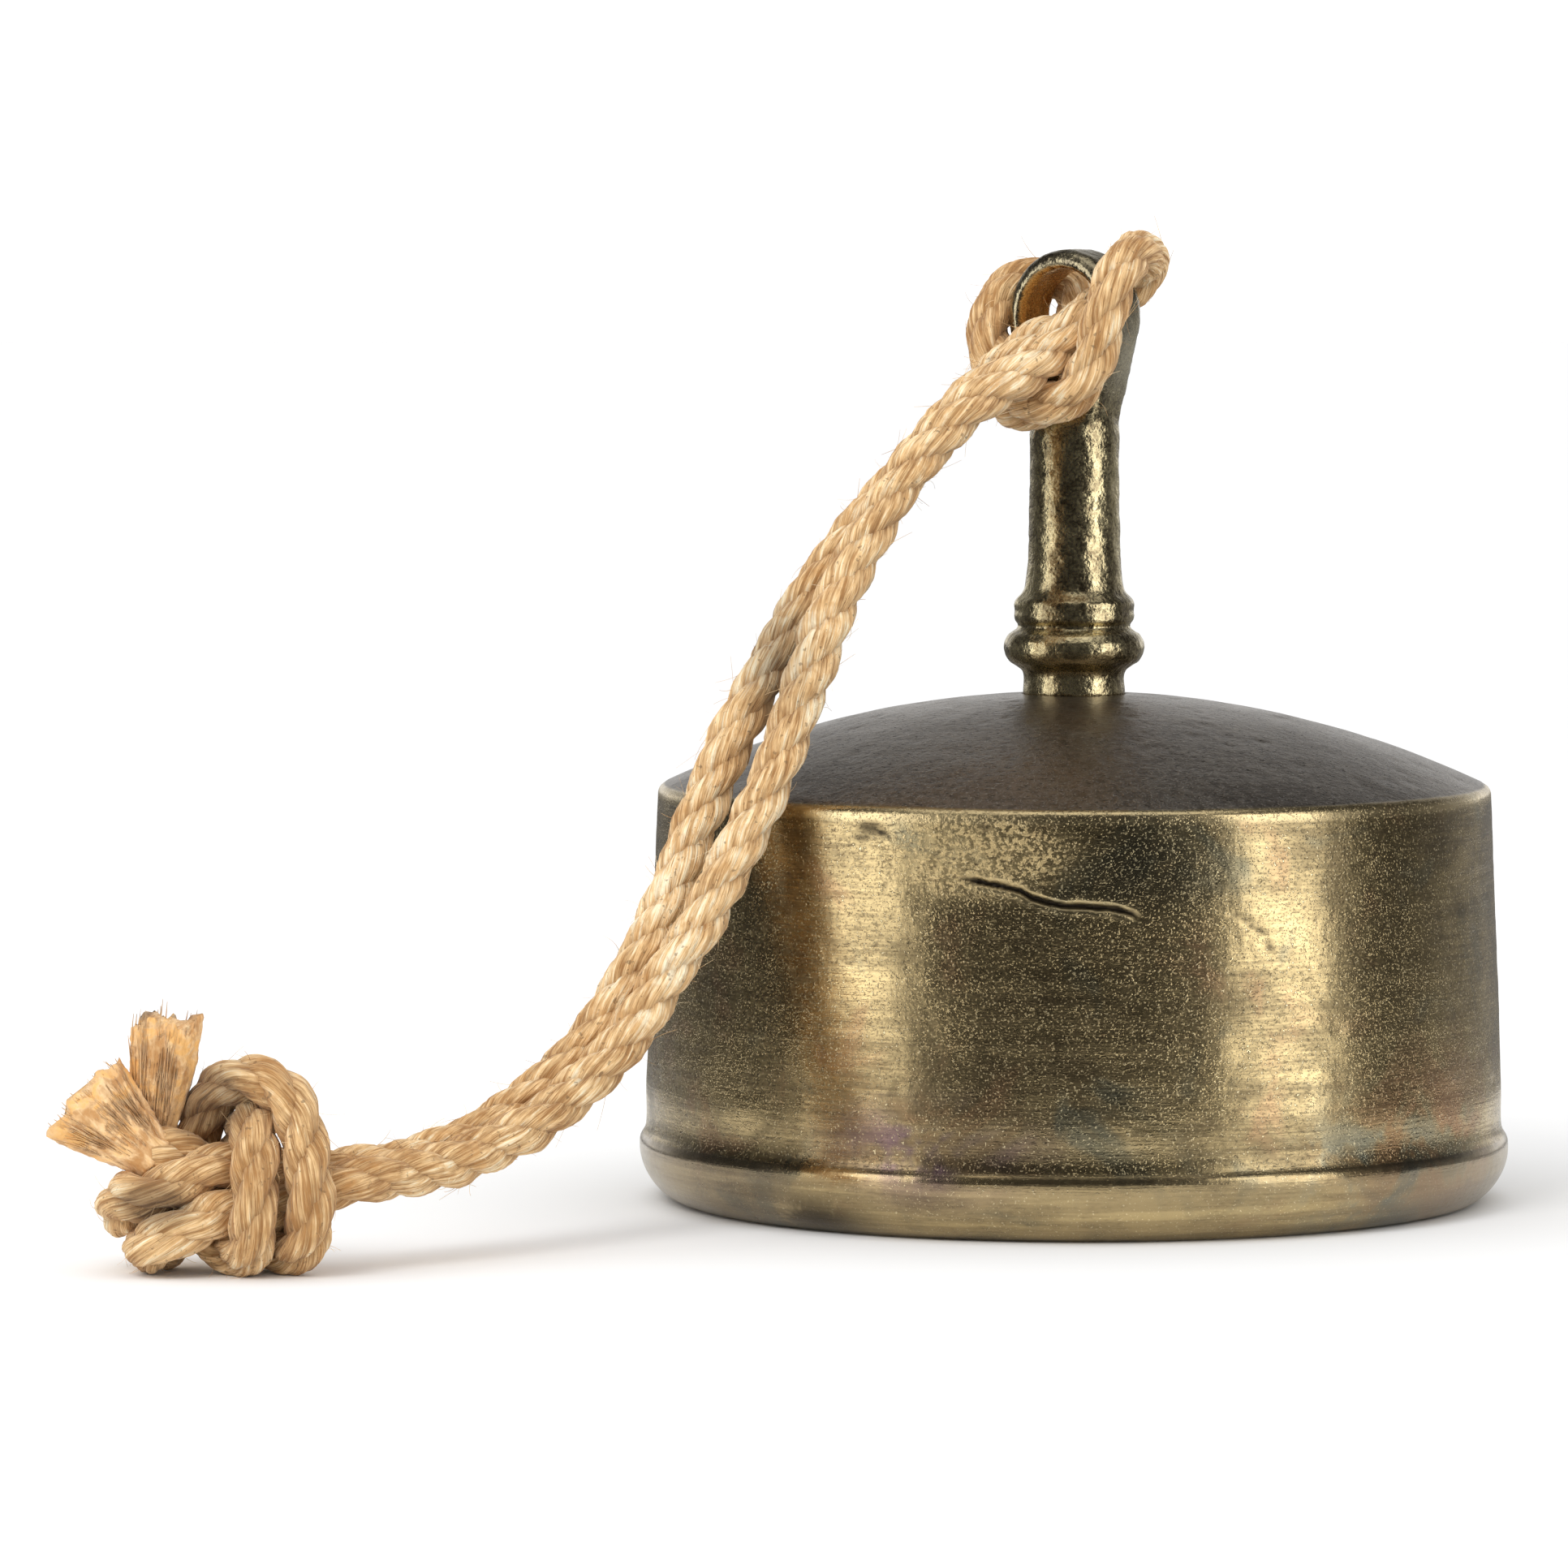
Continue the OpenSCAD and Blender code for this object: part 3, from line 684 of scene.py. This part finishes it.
def frayed_end(name, neck, tip, wide, thick, count, seed, neck_r=2.9):
    """A glued, matted end: a ridged body that spreads into a flat brush, with loose fibres over it."""
    r = np.random.default_rng(seed)
    neck, tip, wide = (np.asarray(v, float) for v in (neck, tip, wide))
    long = np.linalg.norm(tip - neck)
    axis = (tip - neck) / long
    half = np.linalg.norm(wide)
    # the tip's edge follows wide, which need not be square to the axis
    w_tip = wide / half
    flat = np.cross(axis, w_tip)
    flat /= np.linalg.norm(flat)
    w_neck = np.cross(flat, axis)

    def place(t, u, v, reach=1.0):
        """A point of the end: t along it, u across and v through it, both from -1 to 1."""
        t, u, v = (np.asarray(q, float) for q in (t, u, v))
        s = np.clip(t, 0, 1) ** 1.15
        w = (1 - s)[..., None] * w_neck + s[..., None] * w_tip
        across = u * (neck_r * (1 - s) + half * s)
        through = v * (neck_r * (1 - s) + thick * s)
        crease = 0.5 * np.sin(6.0 * u + seed) * s
        return (neck + (t * long * reach)[..., None] * axis + across[..., None] * w
                + (through + crease)[..., None] * flat)

    phi = np.arange(END_SIDES) * 2 * np.pi / END_SIDES
    T, A = np.meshgrid(np.linspace(-0.12, 1, END_RINGS), phi, indexing="ij")
    # the body rounds off over its last part, and its edge is uneven
    shrink = np.where(T > 0.86, np.sqrt(np.clip(1 - ((T - 0.86) / 0.16) ** 2, 0.02, 1)), 1.0)
    U, V = np.cos(A), np.sin(A) * shrink
    edge = 1 + 0.035 * np.sin(3.3 * U + seed) + 0.035 * np.sin(9 * U + 2 * seed) + 0.02 * np.sin(23 * U + seed)
    body = place(T * edge, U * (0.97 + 0.03 * shrink), V)

    def relief_noise(around, along, shift, noise_seed):
        """Noise on the body, so many features round it and along it."""
        points = np.column_stack([around * np.cos(A.ravel()), around * np.sin(A.ravel()), along * T.ravel() + shift])
        return value_noise(points, 1.0, noise_seed)

    ridges, folds = relief_noise(5, 3.0, seed, seed), relief_noise(3, 1.6, -seed, seed + 1)
    small = value_noise(body.reshape(-1, 3), 0.55, seed + 2)
    outward = body - place(T * edge, U * 0.55, V * 0.0)
    outward /= np.linalg.norm(outward, axis=2)[..., None] + 1e-9
    relief = (0.22 * ridges + 0.70 * folds + 0.18 * small).reshape(T.shape) * np.clip((T + 0.12) / 0.35, 0.15, 1)
    body = body + outward * relief[..., None]
    verts = [body.reshape(-1, 3)]
    faces = tube_faces(END_RINGS, END_SIDES)
    fibres = [np.column_stack([2.4 * np.cos(A.ravel()), 2.4 * np.sin(A.ravel()) + 30, T.ravel() * long])]
    tipped = [np.clip(T.ravel(), 0, 1)]

    t = np.linspace(0, 1, FRAY_NODES)
    for _ in range(count):
        a = r.uniform(0, 2 * np.pi)
        u, v = math.cos(a) * r.uniform(0.75, 1.0), math.sin(a) * r.uniform(0.85, 1.06)
        start = r.uniform(0.0, 0.6)
        end = min(start + r.uniform(0.25, 0.7), r.uniform(0.9, 1.10))
        at = start + (end - start) * t
        sway = r.uniform(-0.10, 0.10)
        path = place(at, u + sway * t, v + 0.1 * np.sin(3 * t + a), 1 + 0.035 * math.sin(3.3 * u + seed))
        path += 0.16 * r.normal(size=3) * t[:, None] ** 2
        path[:, 2] = np.maximum(path[:, 2], 0.4)
        size = r.uniform(0.06, 0.15) * np.interp(t, [0, 0.2, 0.8, 1], [0.5, 1.0, 0.8, 0.3])
        ring = [path + size[:, None] * (math.cos(b) * w_neck + math.sin(b) * flat) for b in (0, 1.57, 3.14, 4.71)]
        faces += tube_faces(FRAY_NODES, FRAY_SIDES, sum(len(q) for q in verts))
        verts.append(np.stack(ring, axis=1).reshape(-1, 3))
        fibres.append(np.column_stack([np.full(FRAY_NODES * FRAY_SIDES, r.uniform(0, 20)),
                                       np.tile(np.arange(FRAY_SIDES) * 0.5, FRAY_NODES),
                                       (at * long).repeat(FRAY_SIDES)]))
        tipped.append(np.clip(at, 0, 1).repeat(FRAY_SIDES))
    return mesh_object(name, np.vstack(verts), faces, FRAYED,
                       floats={"deep": np.concatenate(tipped)}, vectors={"fibre": np.vstack(fibres)})


last_node = len(line) - 1
HAIRS = 1500
rope_a, fuzz_a = rope_piece("rope_a", middle, last_node, HAIRS)
rope_b, fuzz_b = rope_piece("rope_b", 0, middle, HAIRS)
end_a = frayed_end("rope_end_brush_a", line[last_node], (-119.2, -87.8, 32.4), (4.5, 0.6, 0.2), 2.6, 320, 3)
end_b = frayed_end("rope_end_brush_b", line[0], (-130.2, -88.5, 23.0), (4.6, 0.8, 5.2), 3.0, 380, 8, neck_r=3.3)
for piece, slot_name in ((rope_a, "jute"), (rope_b, "jute"), (fuzz_a, "jute"), (fuzz_b, "jute"),
                         (end_a, "frayed_jute"), (end_b, "frayed_jute")):
    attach(piece, "bell")
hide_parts("rope_hitch", "rope_leg_a", "rope_knot")
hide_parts("rope_hitch", "rope_leg_b", "rope_knot")
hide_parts("rope_end_a")
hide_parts("rope_end_b")


# -------- bell body
SHOULDER_R, SHOULDER_Z, DOME_R = 57.4, 57.0, 133.0
DOME_Z = SHOULDER_Z - math.sqrt(DOME_R ** 2 - SHOULDER_R ** 2)


def dome_height(r, radius=DOME_R):
    """Height of the dome, or of its inside for a smaller radius, at r from the axis."""
    return DOME_Z + math.sqrt(radius ** 2 - r ** 2)


def arc(cx, cz, r, a0, a1, n):
    """Points of an arc from a0 to a1 degrees."""
    a = np.radians(np.linspace(a0, a1, n))
    return [[cx + r * math.cos(x), cz + r * math.sin(x)] for x in a]


# The section, as a closed line: out over the dome, down the wall, round the lip and back up inside
section, zone = [], []


def add(points, name):
    """Carries the section on through the points, which lie in the named zone."""
    section.extend(points)
    zone.extend([name] * len(points))


add([[7.1, 69.3]], "dome")
add([[r, dome_height(r)] for r in np.linspace(7.2, 56.3, 56)], "dome")
add([[56.75, 57.24], [57.08, 57.0], [57.3, 56.68], [57.42, 56.3], [57.45, 55.8]], "edge")
wall_z = np.r_[np.arange(55.2, 50, -0.6), np.arange(50, 42.4, -0.25), np.arange(42.4, 16, -0.62)]
add([[np.interp(z, [16, 55.2], [59.0, 57.48]), z] for z in wall_z], "wall")
add([[59.0, 15.4], [59.0, 14.6], [58.98, 13.8], [58.96, 13.0], [58.95, 12.3], [58.96, 11.7], [58.99, 11.1],
     [59.05, 10.6], [59.14, 10.15], [59.27, 9.75], [59.43, 9.42]], "foot")
add([[59.6, 9.14], [59.77, 8.88], [59.9, 8.6], [59.98, 8.28], [60.0, 7.9]], "lip")
add(arc(52, 7.6, 8, 0, -62, 22)[1:], "lip")
add([[55.2, 0.32], [54.6, 0.08], [54.0, 0.0], [53.3, 0.0], [52.95, 0.1]], "lip")
add([[52.8, 0.4], [52.6, 1.6], [52.4, 3.0], [52.2, 5.0], [52.4, 7.2], [52.9, 10], [53.5, 13], [54, 16]], "inside")
add([[np.interp(z, [16, 49], [54, 53.3]), z] for z in np.arange(18, 49, 1.4)], "inside")
add([[53.1, 50.2], [52.3, 52.4], [50.9, 54.8], [49.2, 57.2], [47.4, 59.4]], "inside")
add([[r, dome_height(r, 128.5)] for r in np.linspace(44.5, 13.5, 22)], "inside")
add([[12.2, 64.9], [11.7, 64.3], [11.5, 63.95], [11.2, 63.72], [8, 63.7], [4.5, 63.7], [4.3, 63.9], [4.3, 69.3]],
    "inside")
section, zone = np.array(section), np.array(zone)
rows = len(section)

# Columns round the axis, closest together at the casting flaw on the front, which is at an angle of about 0
COLUMNS, FLAW_AT, FLAW_SPREAD = 388, -5.0, 15.5
all_round = np.linspace(-180, 180, 3601)
density = 1 + 3.2 * np.exp(-((all_round - FLAW_AT) / FLAW_SPREAD) ** 4)
share = np.r_[0, np.cumsum((density[1:] + density[:-1]) / 2)]
ang = np.radians(np.interp(np.arange(COLUMNS) / COLUMNS * share[-1], share, all_round))
sx, sy = np.sin(ang), -np.cos(ang)
R = np.repeat(section[:, 0][:, None], COLUMNS, axis=1)
Z = np.repeat(section[:, 1][:, None], COLUMNS, axis=1)
P = np.stack([R * sx, R * sy, Z], axis=2).reshape(-1, 3)
arc_x = ang[None] * R
# the section runs out over the dome, so its outward side is on the left hand
along = np.gradient(section, axis=0)
outward = np.column_stack([-along[:, 1], along[:, 0]])
outward /= np.linalg.norm(outward, axis=1)[:, None] + 1e-9
on_wall, on_dome = (zone == "wall")[:, None], (zone == "dome")[:, None]
outer = (zone != "inside")[:, None]


def bell_noise(size, seed, points=P):
    """Noise at every point of the bell."""
    return value_noise(points, size, seed).reshape(rows, COLUMNS)


def from_segment(start, end):
    """How far each point of the wall, unrolled flat, lies from the segment: along the arc and up."""
    (x0, z0), (x1, z1) = start, end
    dx, dz = x1 - x0, z1 - z0
    t = np.clip(((arc_x - x0) * dx + (Z - z0) * dz) / (dx * dx + dz * dz), 0, 1)
    return arc_x - (x0 + t * dx), Z - (z0 + t * dz)


# How far each point is pushed outward. First hand-cast unevenness and faint turning ridges
push = 0.10 * bell_noise(17.0, 1) + 0.045 * bell_noise(4.2, 2)
push += np.where(on_dome, 0.16 * bell_noise(26.0, 9, P * [1, 1, 0.6]), 0)
heights = np.column_stack([Z.ravel(), np.zeros((Z.size, 2))])
push += np.where(np.isin(zone, ["wall", "foot"])[:, None], 0.02 * bell_noise(1.1, 4, heights), 0)

# the casting flaw: a wavy cold shut, a groove with a proud rim above it and a low one below
flaw = [(-17.0, 48.3), (-14.5, 47.9), (-11.5, 47.3), (-9.0, 46.8), (-7.4, 45.9), (-5.5, 45.3), (-3.5, 44.9),
        (-1.0, 44.8), (1.5, 44.6), (3.8, 44.4), (5.6, 43.9), (6.6, 43.3)]
nearest, height = np.full((rows, COLUMNS), 1e9), np.zeros((rows, COLUMNS))
for start, end in zip(flaw, flaw[1:]):
    ex, ez = from_segment(start, end)
    d = np.hypot(ex, ez)
    closer = d < nearest
    nearest, height = np.where(closer, d, nearest), np.where(closer, ez, height)
fading = np.clip((arc_x + 17.5) / 3, 0, 1) * np.clip((7.2 - arc_x) / 2, 0, 1)
uneven = bell_noise(1.3, 31)
near_flaw = on_wall & (nearest < 2.5)
line_in = np.where(on_wall, fading * np.exp(-(nearest / (0.38 + 0.14 * uneven)) ** 2), 0)
rim_up = np.where(near_flaw, fading * np.exp(-((height - 0.9 - 0.3 * uneven) / 0.5) ** 2), 0)
rim_down = np.where(near_flaw, fading * np.exp(-((height + 0.75) / 0.4) ** 2), 0)
push += -0.62 * line_in + (0.07 + 0.10 * uneven) * rim_up + 0.07 * rim_down
groove = np.clip(1.5 * line_in, 0, 1)
rubbed = (0.5 + 0.4 * uneven) * rim_up + 0.8 * rim_down + (zone == "edge")[:, None] * 0.8
# a patch above it is finely hammered
hammered = on_wall * np.exp(-((arc_x + 14) / 13) ** 4 - ((Z - 51.2) / 4.6) ** 4)
push += 0.10 * hammered * bell_noise(1.0, 33)
# a second, fainter crack to its right
crack = [(20.0, 43.6), (22.4, 42.1), (24.4, 40.6), (25.2, 38.6)]
for start, end in zip(crack, crack[1:]):
    ex, ez = from_segment(start, end)
    faint = np.where(on_wall, np.exp(-(ex ** 2 + ez ** 2) / 0.30 ** 2), 0)
    push -= 0.14 * faint
    groove = np.maximum(groove, 0.6 * faint)
# nicks under the shoulder: place along the arc, height, size and depth
nicks = [(-30.0, 54.6, 0.7, 0.25), (-28.4, 54.0, 0.5, 0.2), (-31.2, 53.2, 0.5, 0.2), (-13.8, 55.0, 0.5, 0.15)]
for x0, z0, size, depth in nicks:
    nick = np.where(on_wall, np.exp(-((arc_x - x0) ** 2 / (2.2 * size) ** 2 + (Z - z0) ** 2 / size ** 2)), 0)
    push -= depth * nick
    groove = np.maximum(groove, 0.8 * nick)
# shallow pits, first over the wall and then over the dome
pit_rng = np.random.default_rng(21)
WALL_PITS, DOME_PITS, MEAN_WALL_R = 130, 260, 58
for _ in range(WALL_PITS):
    x0, z0 = math.radians(pit_rng.uniform(-180, 180)) * MEAN_WALL_R, pit_rng.uniform(11, 56)
    size, depth = pit_rng.uniform(0.35, 0.9), pit_rng.uniform(0.04, 0.15)
    near = (zone == "wall") & (np.abs(section[:, 1] - z0) < 3 * size)
    push[near] -= depth * np.exp(-((arc_x[near] - x0) ** 2 + (Z[near] - z0) ** 2) / size ** 2)
for _ in range(DOME_PITS):
    a0, r0 = pit_rng.uniform(0, 2 * np.pi), 57 * math.sqrt(pit_rng.uniform(0.03, 0.95))
    size, depth = pit_rng.uniform(0.4, 1.1), pit_rng.uniform(0.04, 0.16)
    near = (zone == "dome") & (np.abs(section[:, 0] - r0) < 3 * size)
    gx, gy = R[near] * sx - r0 * math.sin(a0), R[near] * sy + r0 * math.cos(a0)
    push[near] -= depth * np.exp(-(gx ** 2 + gy ** 2) / size ** 2)
# the mouth's ring stays flat and the bore round, and the inside is less uneven
above_mouth = outer & (section[:, 1][:, None] > 0.5)
push *= np.where(above_mouth, 1.0, np.where(outer, 0.0, 0.6))
push[section[:, 0] < 5] = 0
out_r = R + push * outward[:, 0][:, None]
out_z = np.maximum(Z + push * outward[:, 1][:, None], 0.0)
body_verts = np.stack([out_r * sx, out_r * sy, out_z], axis=2).reshape(-1, 3)
length_along = np.r_[0, np.cumsum(np.linalg.norm(np.diff(section, axis=0), axis=1))]


def spread_rows(values):
    """One value for each row, at all its points."""
    return np.repeat(np.asarray(values, float), COLUMNS)


bell = mesh_object("bell_body", body_verts, ring_faces(rows, COLUMNS), BODY_BRASS, floats={
    "along": spread_rows(length_along * MM),
    "dome": spread_rows(zone == "dome"),
    "lip": spread_rows(zone == "lip"),
    "inside": spread_rows(zone == "inside"),
    "groove": groove.ravel(), "rubbed": rubbed.ravel()})
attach(bell, "bell")
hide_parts("bell_shell")


# -------- stem and eye
stem_profile = np.array([
    [7.0, 69.4], [7.05, 70.2], [6.95, 71.2], [6.9, 72.2], [7.1, 73.0], [7.9, 73.6], [8.9, 74.2], [9.55, 75.1],
    [9.78, 76.1], [9.6, 77.1], [9.0, 78.0], [8.1, 78.6], [7.55, 79.1], [7.75, 79.5], [8.15, 79.8], [8.3, 80.3],
    [8.28, 80.8], [8.12, 81.1], [8.15, 81.5], [8.3, 81.9], [8.2, 82.5], [7.8, 83.0], [7.2, 83.5], [6.8, 84.3],
    [6.55, 86], [6.4, 88], [6.25, 91], [6.2, 95], [6.17, 99], [6.15, 102], [6.15, 105], [6.0, 107.6], [5.3, 109.8],
    [3.8, 111.3]])
STEM_SIDES, RING_SIDES = 96, 120
a = np.arange(STEM_SIDES) * 2 * np.pi / STEM_SIDES
r, z = stem_profile[:, 0][:, None], stem_profile[:, 1][:, None]
stem_verts = np.stack([r * np.cos(a), r * np.sin(a), np.repeat(z, STEM_SIDES, axis=1)], axis=2).reshape(-1, 3)

# The eye's outline: a ring, and a neck whose straight sides leave it at tangents and splay a little
RING_R, NECK_LONG = 9.2, 18
SPLAY = math.radians(16)
side_x, side_z = RING_R * math.cos(SPLAY), -RING_R * math.sin(SPLAY)
foot_x, foot_z = side_x - NECK_LONG * math.sin(SPLAY), side_z - NECK_LONG * math.cos(SPLAY)


def outline_radius(a):
    """How far the eye's outline lies from the middle of its hole in the direction a."""
    c, s = math.cos(a), math.sin(a)
    if s > -math.sin(SPLAY):
        return RING_R
    dx, dz = foot_x - side_x, foot_z - side_z
    det = abs(c) * dz - s * dx
    to_side = (side_x * dz - side_z * dx) / det if abs(det) > 1e-9 else 1e9
    return min(x for x in (to_side, foot_z / s) if x > 0)


outline_a = np.linspace(0, 2 * np.pi, RING_SIDES, endpoint=False)
outer_r = np.array([outline_radius(a) for a in outline_a])
# the eye's section from the hole over its front to the outline and back: radius and depth
half_section = [(6.45, 2.6), (6.7, 3.4), (7.2, 3.85), (outer_r - 1.35, 3.85), (outer_r - 0.4, 3.3), (outer_r, 2.3)]
rings = []
for r, b in [(r, -b) for r, b in half_section] + half_section[::-1]:
    rings.append(np.column_stack([r * np.cos(outline_a), np.full(RING_SIDES, b), r * np.sin(outline_a)]))
faces = tube_faces(len(stem_profile), STEM_SIDES) + ring_faces(len(rings), RING_SIDES, len(stem_verts))
rough_stem = mesh_object("rough_stem", np.vstack([stem_verts, from_eye(np.vstack(rings))]), faces, STEM_BRASS)
bm = bmesh.new()
bm.from_mesh(rough_stem.data)
bmesh.ops.recalc_face_normals(bm, faces=bm.faces)
bm.to_mesh(rough_stem.data)
bm.free()
# stem and eye become one casting, with its corners softened
remesh = rough_stem.modifiers.new("remesh", "REMESH")
remesh.mode = "VOXEL"
remesh.voxel_size = 0.00030
soften = rough_stem.modifiers.new("soften", "SMOOTH")
soften.factor = 0.5
soften.iterations = 5
graph = bpy.context.evaluated_depsgraph_get()
cast_mesh = bpy.data.meshes.new_from_object(rough_stem.evaluated_get(graph))
bpy.data.objects.remove(rough_stem)


def vertex_vectors(key):
    """A vector of every vertex of the casting."""
    values = np.zeros(len(cast_mesh.vertices) * 3)
    cast_mesh.vertices.foreach_get(key, values)
    return values.reshape(-1, 3)


co = vertex_vectors("co") / MM
lumpy = 0.08 * value_noise(co, 3.4, 12) + 0.05 * value_noise(co, 1.3, 13) + 0.035 * value_noise(co, 0.7, 14)
co += vertex_vectors("normal") * (lumpy * np.clip((co[:, 2] - 70.5) / 1.5, 0, 1))[:, None]
cast_mesh.vertices.foreach_set("co", (co * MM).ravel())
along_eye, _, up_eye = turned(co - [0, 0, HOLE_Z]).T
hole_share = np.clip((7.2 - np.hypot(along_eye, up_eye)) / 0.5, 0, 1)
cast_mesh.attributes.new("hole", "FLOAT", "POINT").data.foreach_set("value", hole_share.astype(np.float32))
cast_mesh.polygons.foreach_set("use_smooth", [True] * len(cast_mesh.polygons))
cast_mesh.materials.clear()
cast_mesh.materials.append(STEM_BRASS)
cast_mesh.update()
stem = placed("stem_casting", cast_mesh)
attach(stem, "bell")
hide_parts("eye_stem")


# -------- hardware that keeps its CAD shape
finishes = {
    "leather": (LEATHER, ["leather_washer"]),
    "steel": (STEEL, ["flat_washer", "lock_washer", "clapper_hanger", "hinge_pin", "split_pin"]),
    "clapper_brass": (CLAPPER_BRASS, ["clapper_rod", "clapper_nut", "clapper_ball"])}
for slot_name, (material, names) in finishes.items():
    for name in names:
        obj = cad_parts[name]
        obj.data.materials.clear()
        obj.data.materials.append(material)
        bevel = obj.modifiers.new("edge", "BEVEL")
        bevel.width = 0.00018
        bevel.segments = 2
        bevel.limit_method = "ANGLE"
        bevel.angle_limit = math.radians(40)


# -------- floor and light
floor_material, k, bsdf = new_material("floor")
k.fill(bsdf, {"Base Color": (0.89, 0.89, 0.89, 1), "Roughness": 0.9, "Specular IOR Level": 0.0})
FLOOR_SIDES, NEAR_FLOOR_R, FAR_FLOOR_R = 96, 0.18, 9.0


def floor_ring(name, inner, outer):
    """A flat ring of floor, or a disc where its inner radius is 0."""
    a = np.arange(FLOOR_SIDES) * 2 * np.pi / FLOOR_SIDES
    rim = [(r * math.cos(x), r * math.sin(x), 0) for r in (inner, outer) for x in a]
    if inner == 0:
        verts, faces = rim[FLOOR_SIDES:], [tuple(range(FLOOR_SIDES))]
    else:
        verts = rim
        after = [(k + 1) % FLOOR_SIDES for k in range(FLOOR_SIDES)]
        faces = [(k, FLOOR_SIDES + k, FLOOR_SIDES + after[k], after[k]) for k in range(FLOOR_SIDES)]
    mesh = bpy.data.meshes.new(name)
    mesh.from_pydata(verts, [], faces)
    mesh.materials.append(floor_material)
    obj = placed(name, mesh)
    return obj


floor_ring("floor", 0, NEAR_FLOOR_R)
floor_ring("floor_beyond", NEAR_FLOOR_R, FAR_FLOOR_R).visible_glossy = False

world = bpy.data.worlds.new("studio")
bpy.context.scene.world = world
world.use_nodes = True
k = NodeKit(world.node_tree)
look = k.split(k.node("TexCoord").outputs["Generated"])
# what metal sees: a dark room in front, grey to the sides and a bright wall straight behind, low down
aside = k.times(k.ramp(look[1], 0.05, 0.60), k.ramp(look[2], 0.55, 0.10))
aside = k.times(aside, k.ramp(look[0], -0.9, 0.9, 0.07, 0.24))
behind = k.total((k.ramp(look[2], 0.90, 0.60), 0.40), (k.ramp(look[2], 0.35, 0.02), 0.80))
behind = k.times(k.times(behind, k.ramp(look[1], 0.62, 0.88)), k.ramp(look[2], -0.04, 0.07))
grey = k.math("ADD", k.math("ADD", aside, behind), 0.032)
# everything else is lit by plain white
light = k.mix(k.node("LightPath").outputs["Is Glossy Ray"], (1.13, 1.13, 1.13), k.vector(grey, grey, grey))
k.fill(world.node_tree.nodes["Background"], {"Color": light, "Strength": 1.0})
AIM = Vector((0, 0, 0.05))


def softbox(name, azimuth, elevation, far, wide, high, power):
    """A rectangular light that faces the bell. Azimuth 0 is the camera's side, positive to its right."""
    light = bpy.data.lights.new(name, "AREA")
    light.shape = "RECTANGLE"
    light.size, light.size_y = wide, high
    light.energy = power
    obj = placed(name, light)
    a, e = math.radians(azimuth), math.radians(elevation)
    away = Vector((math.sin(a) * math.cos(e), -math.cos(a) * math.cos(e), math.sin(e))) * far
    obj.location = AIM + away
    obj.rotation_euler = (-away).to_track_quat("-Z", "Y").to_euler()
    return obj


# the two tall boxes draw the bands on the metal, and the small one models the rope
softbox("tall_left", -61, 9, 1.3, 0.60, 1.4, 7.0).visible_diffuse = False
softbox("tall_right", 55, 9, 1.3, 0.58, 1.4, 8.7).visible_diffuse = False
softbox("overhead", 0, 80, 1.2, 1.2, 0.9, 3.5).visible_diffuse = False
softbox("rope_key", -30, 40, 1.4, 0.5, 0.5, 5.0).visible_glossy = False

scene = bpy.context.scene
scene.view_settings.view_transform = "Standard"
scene.view_settings.look = "None"
scene.view_settings.exposure = 0.0
scene.view_settings.gamma = 1.0
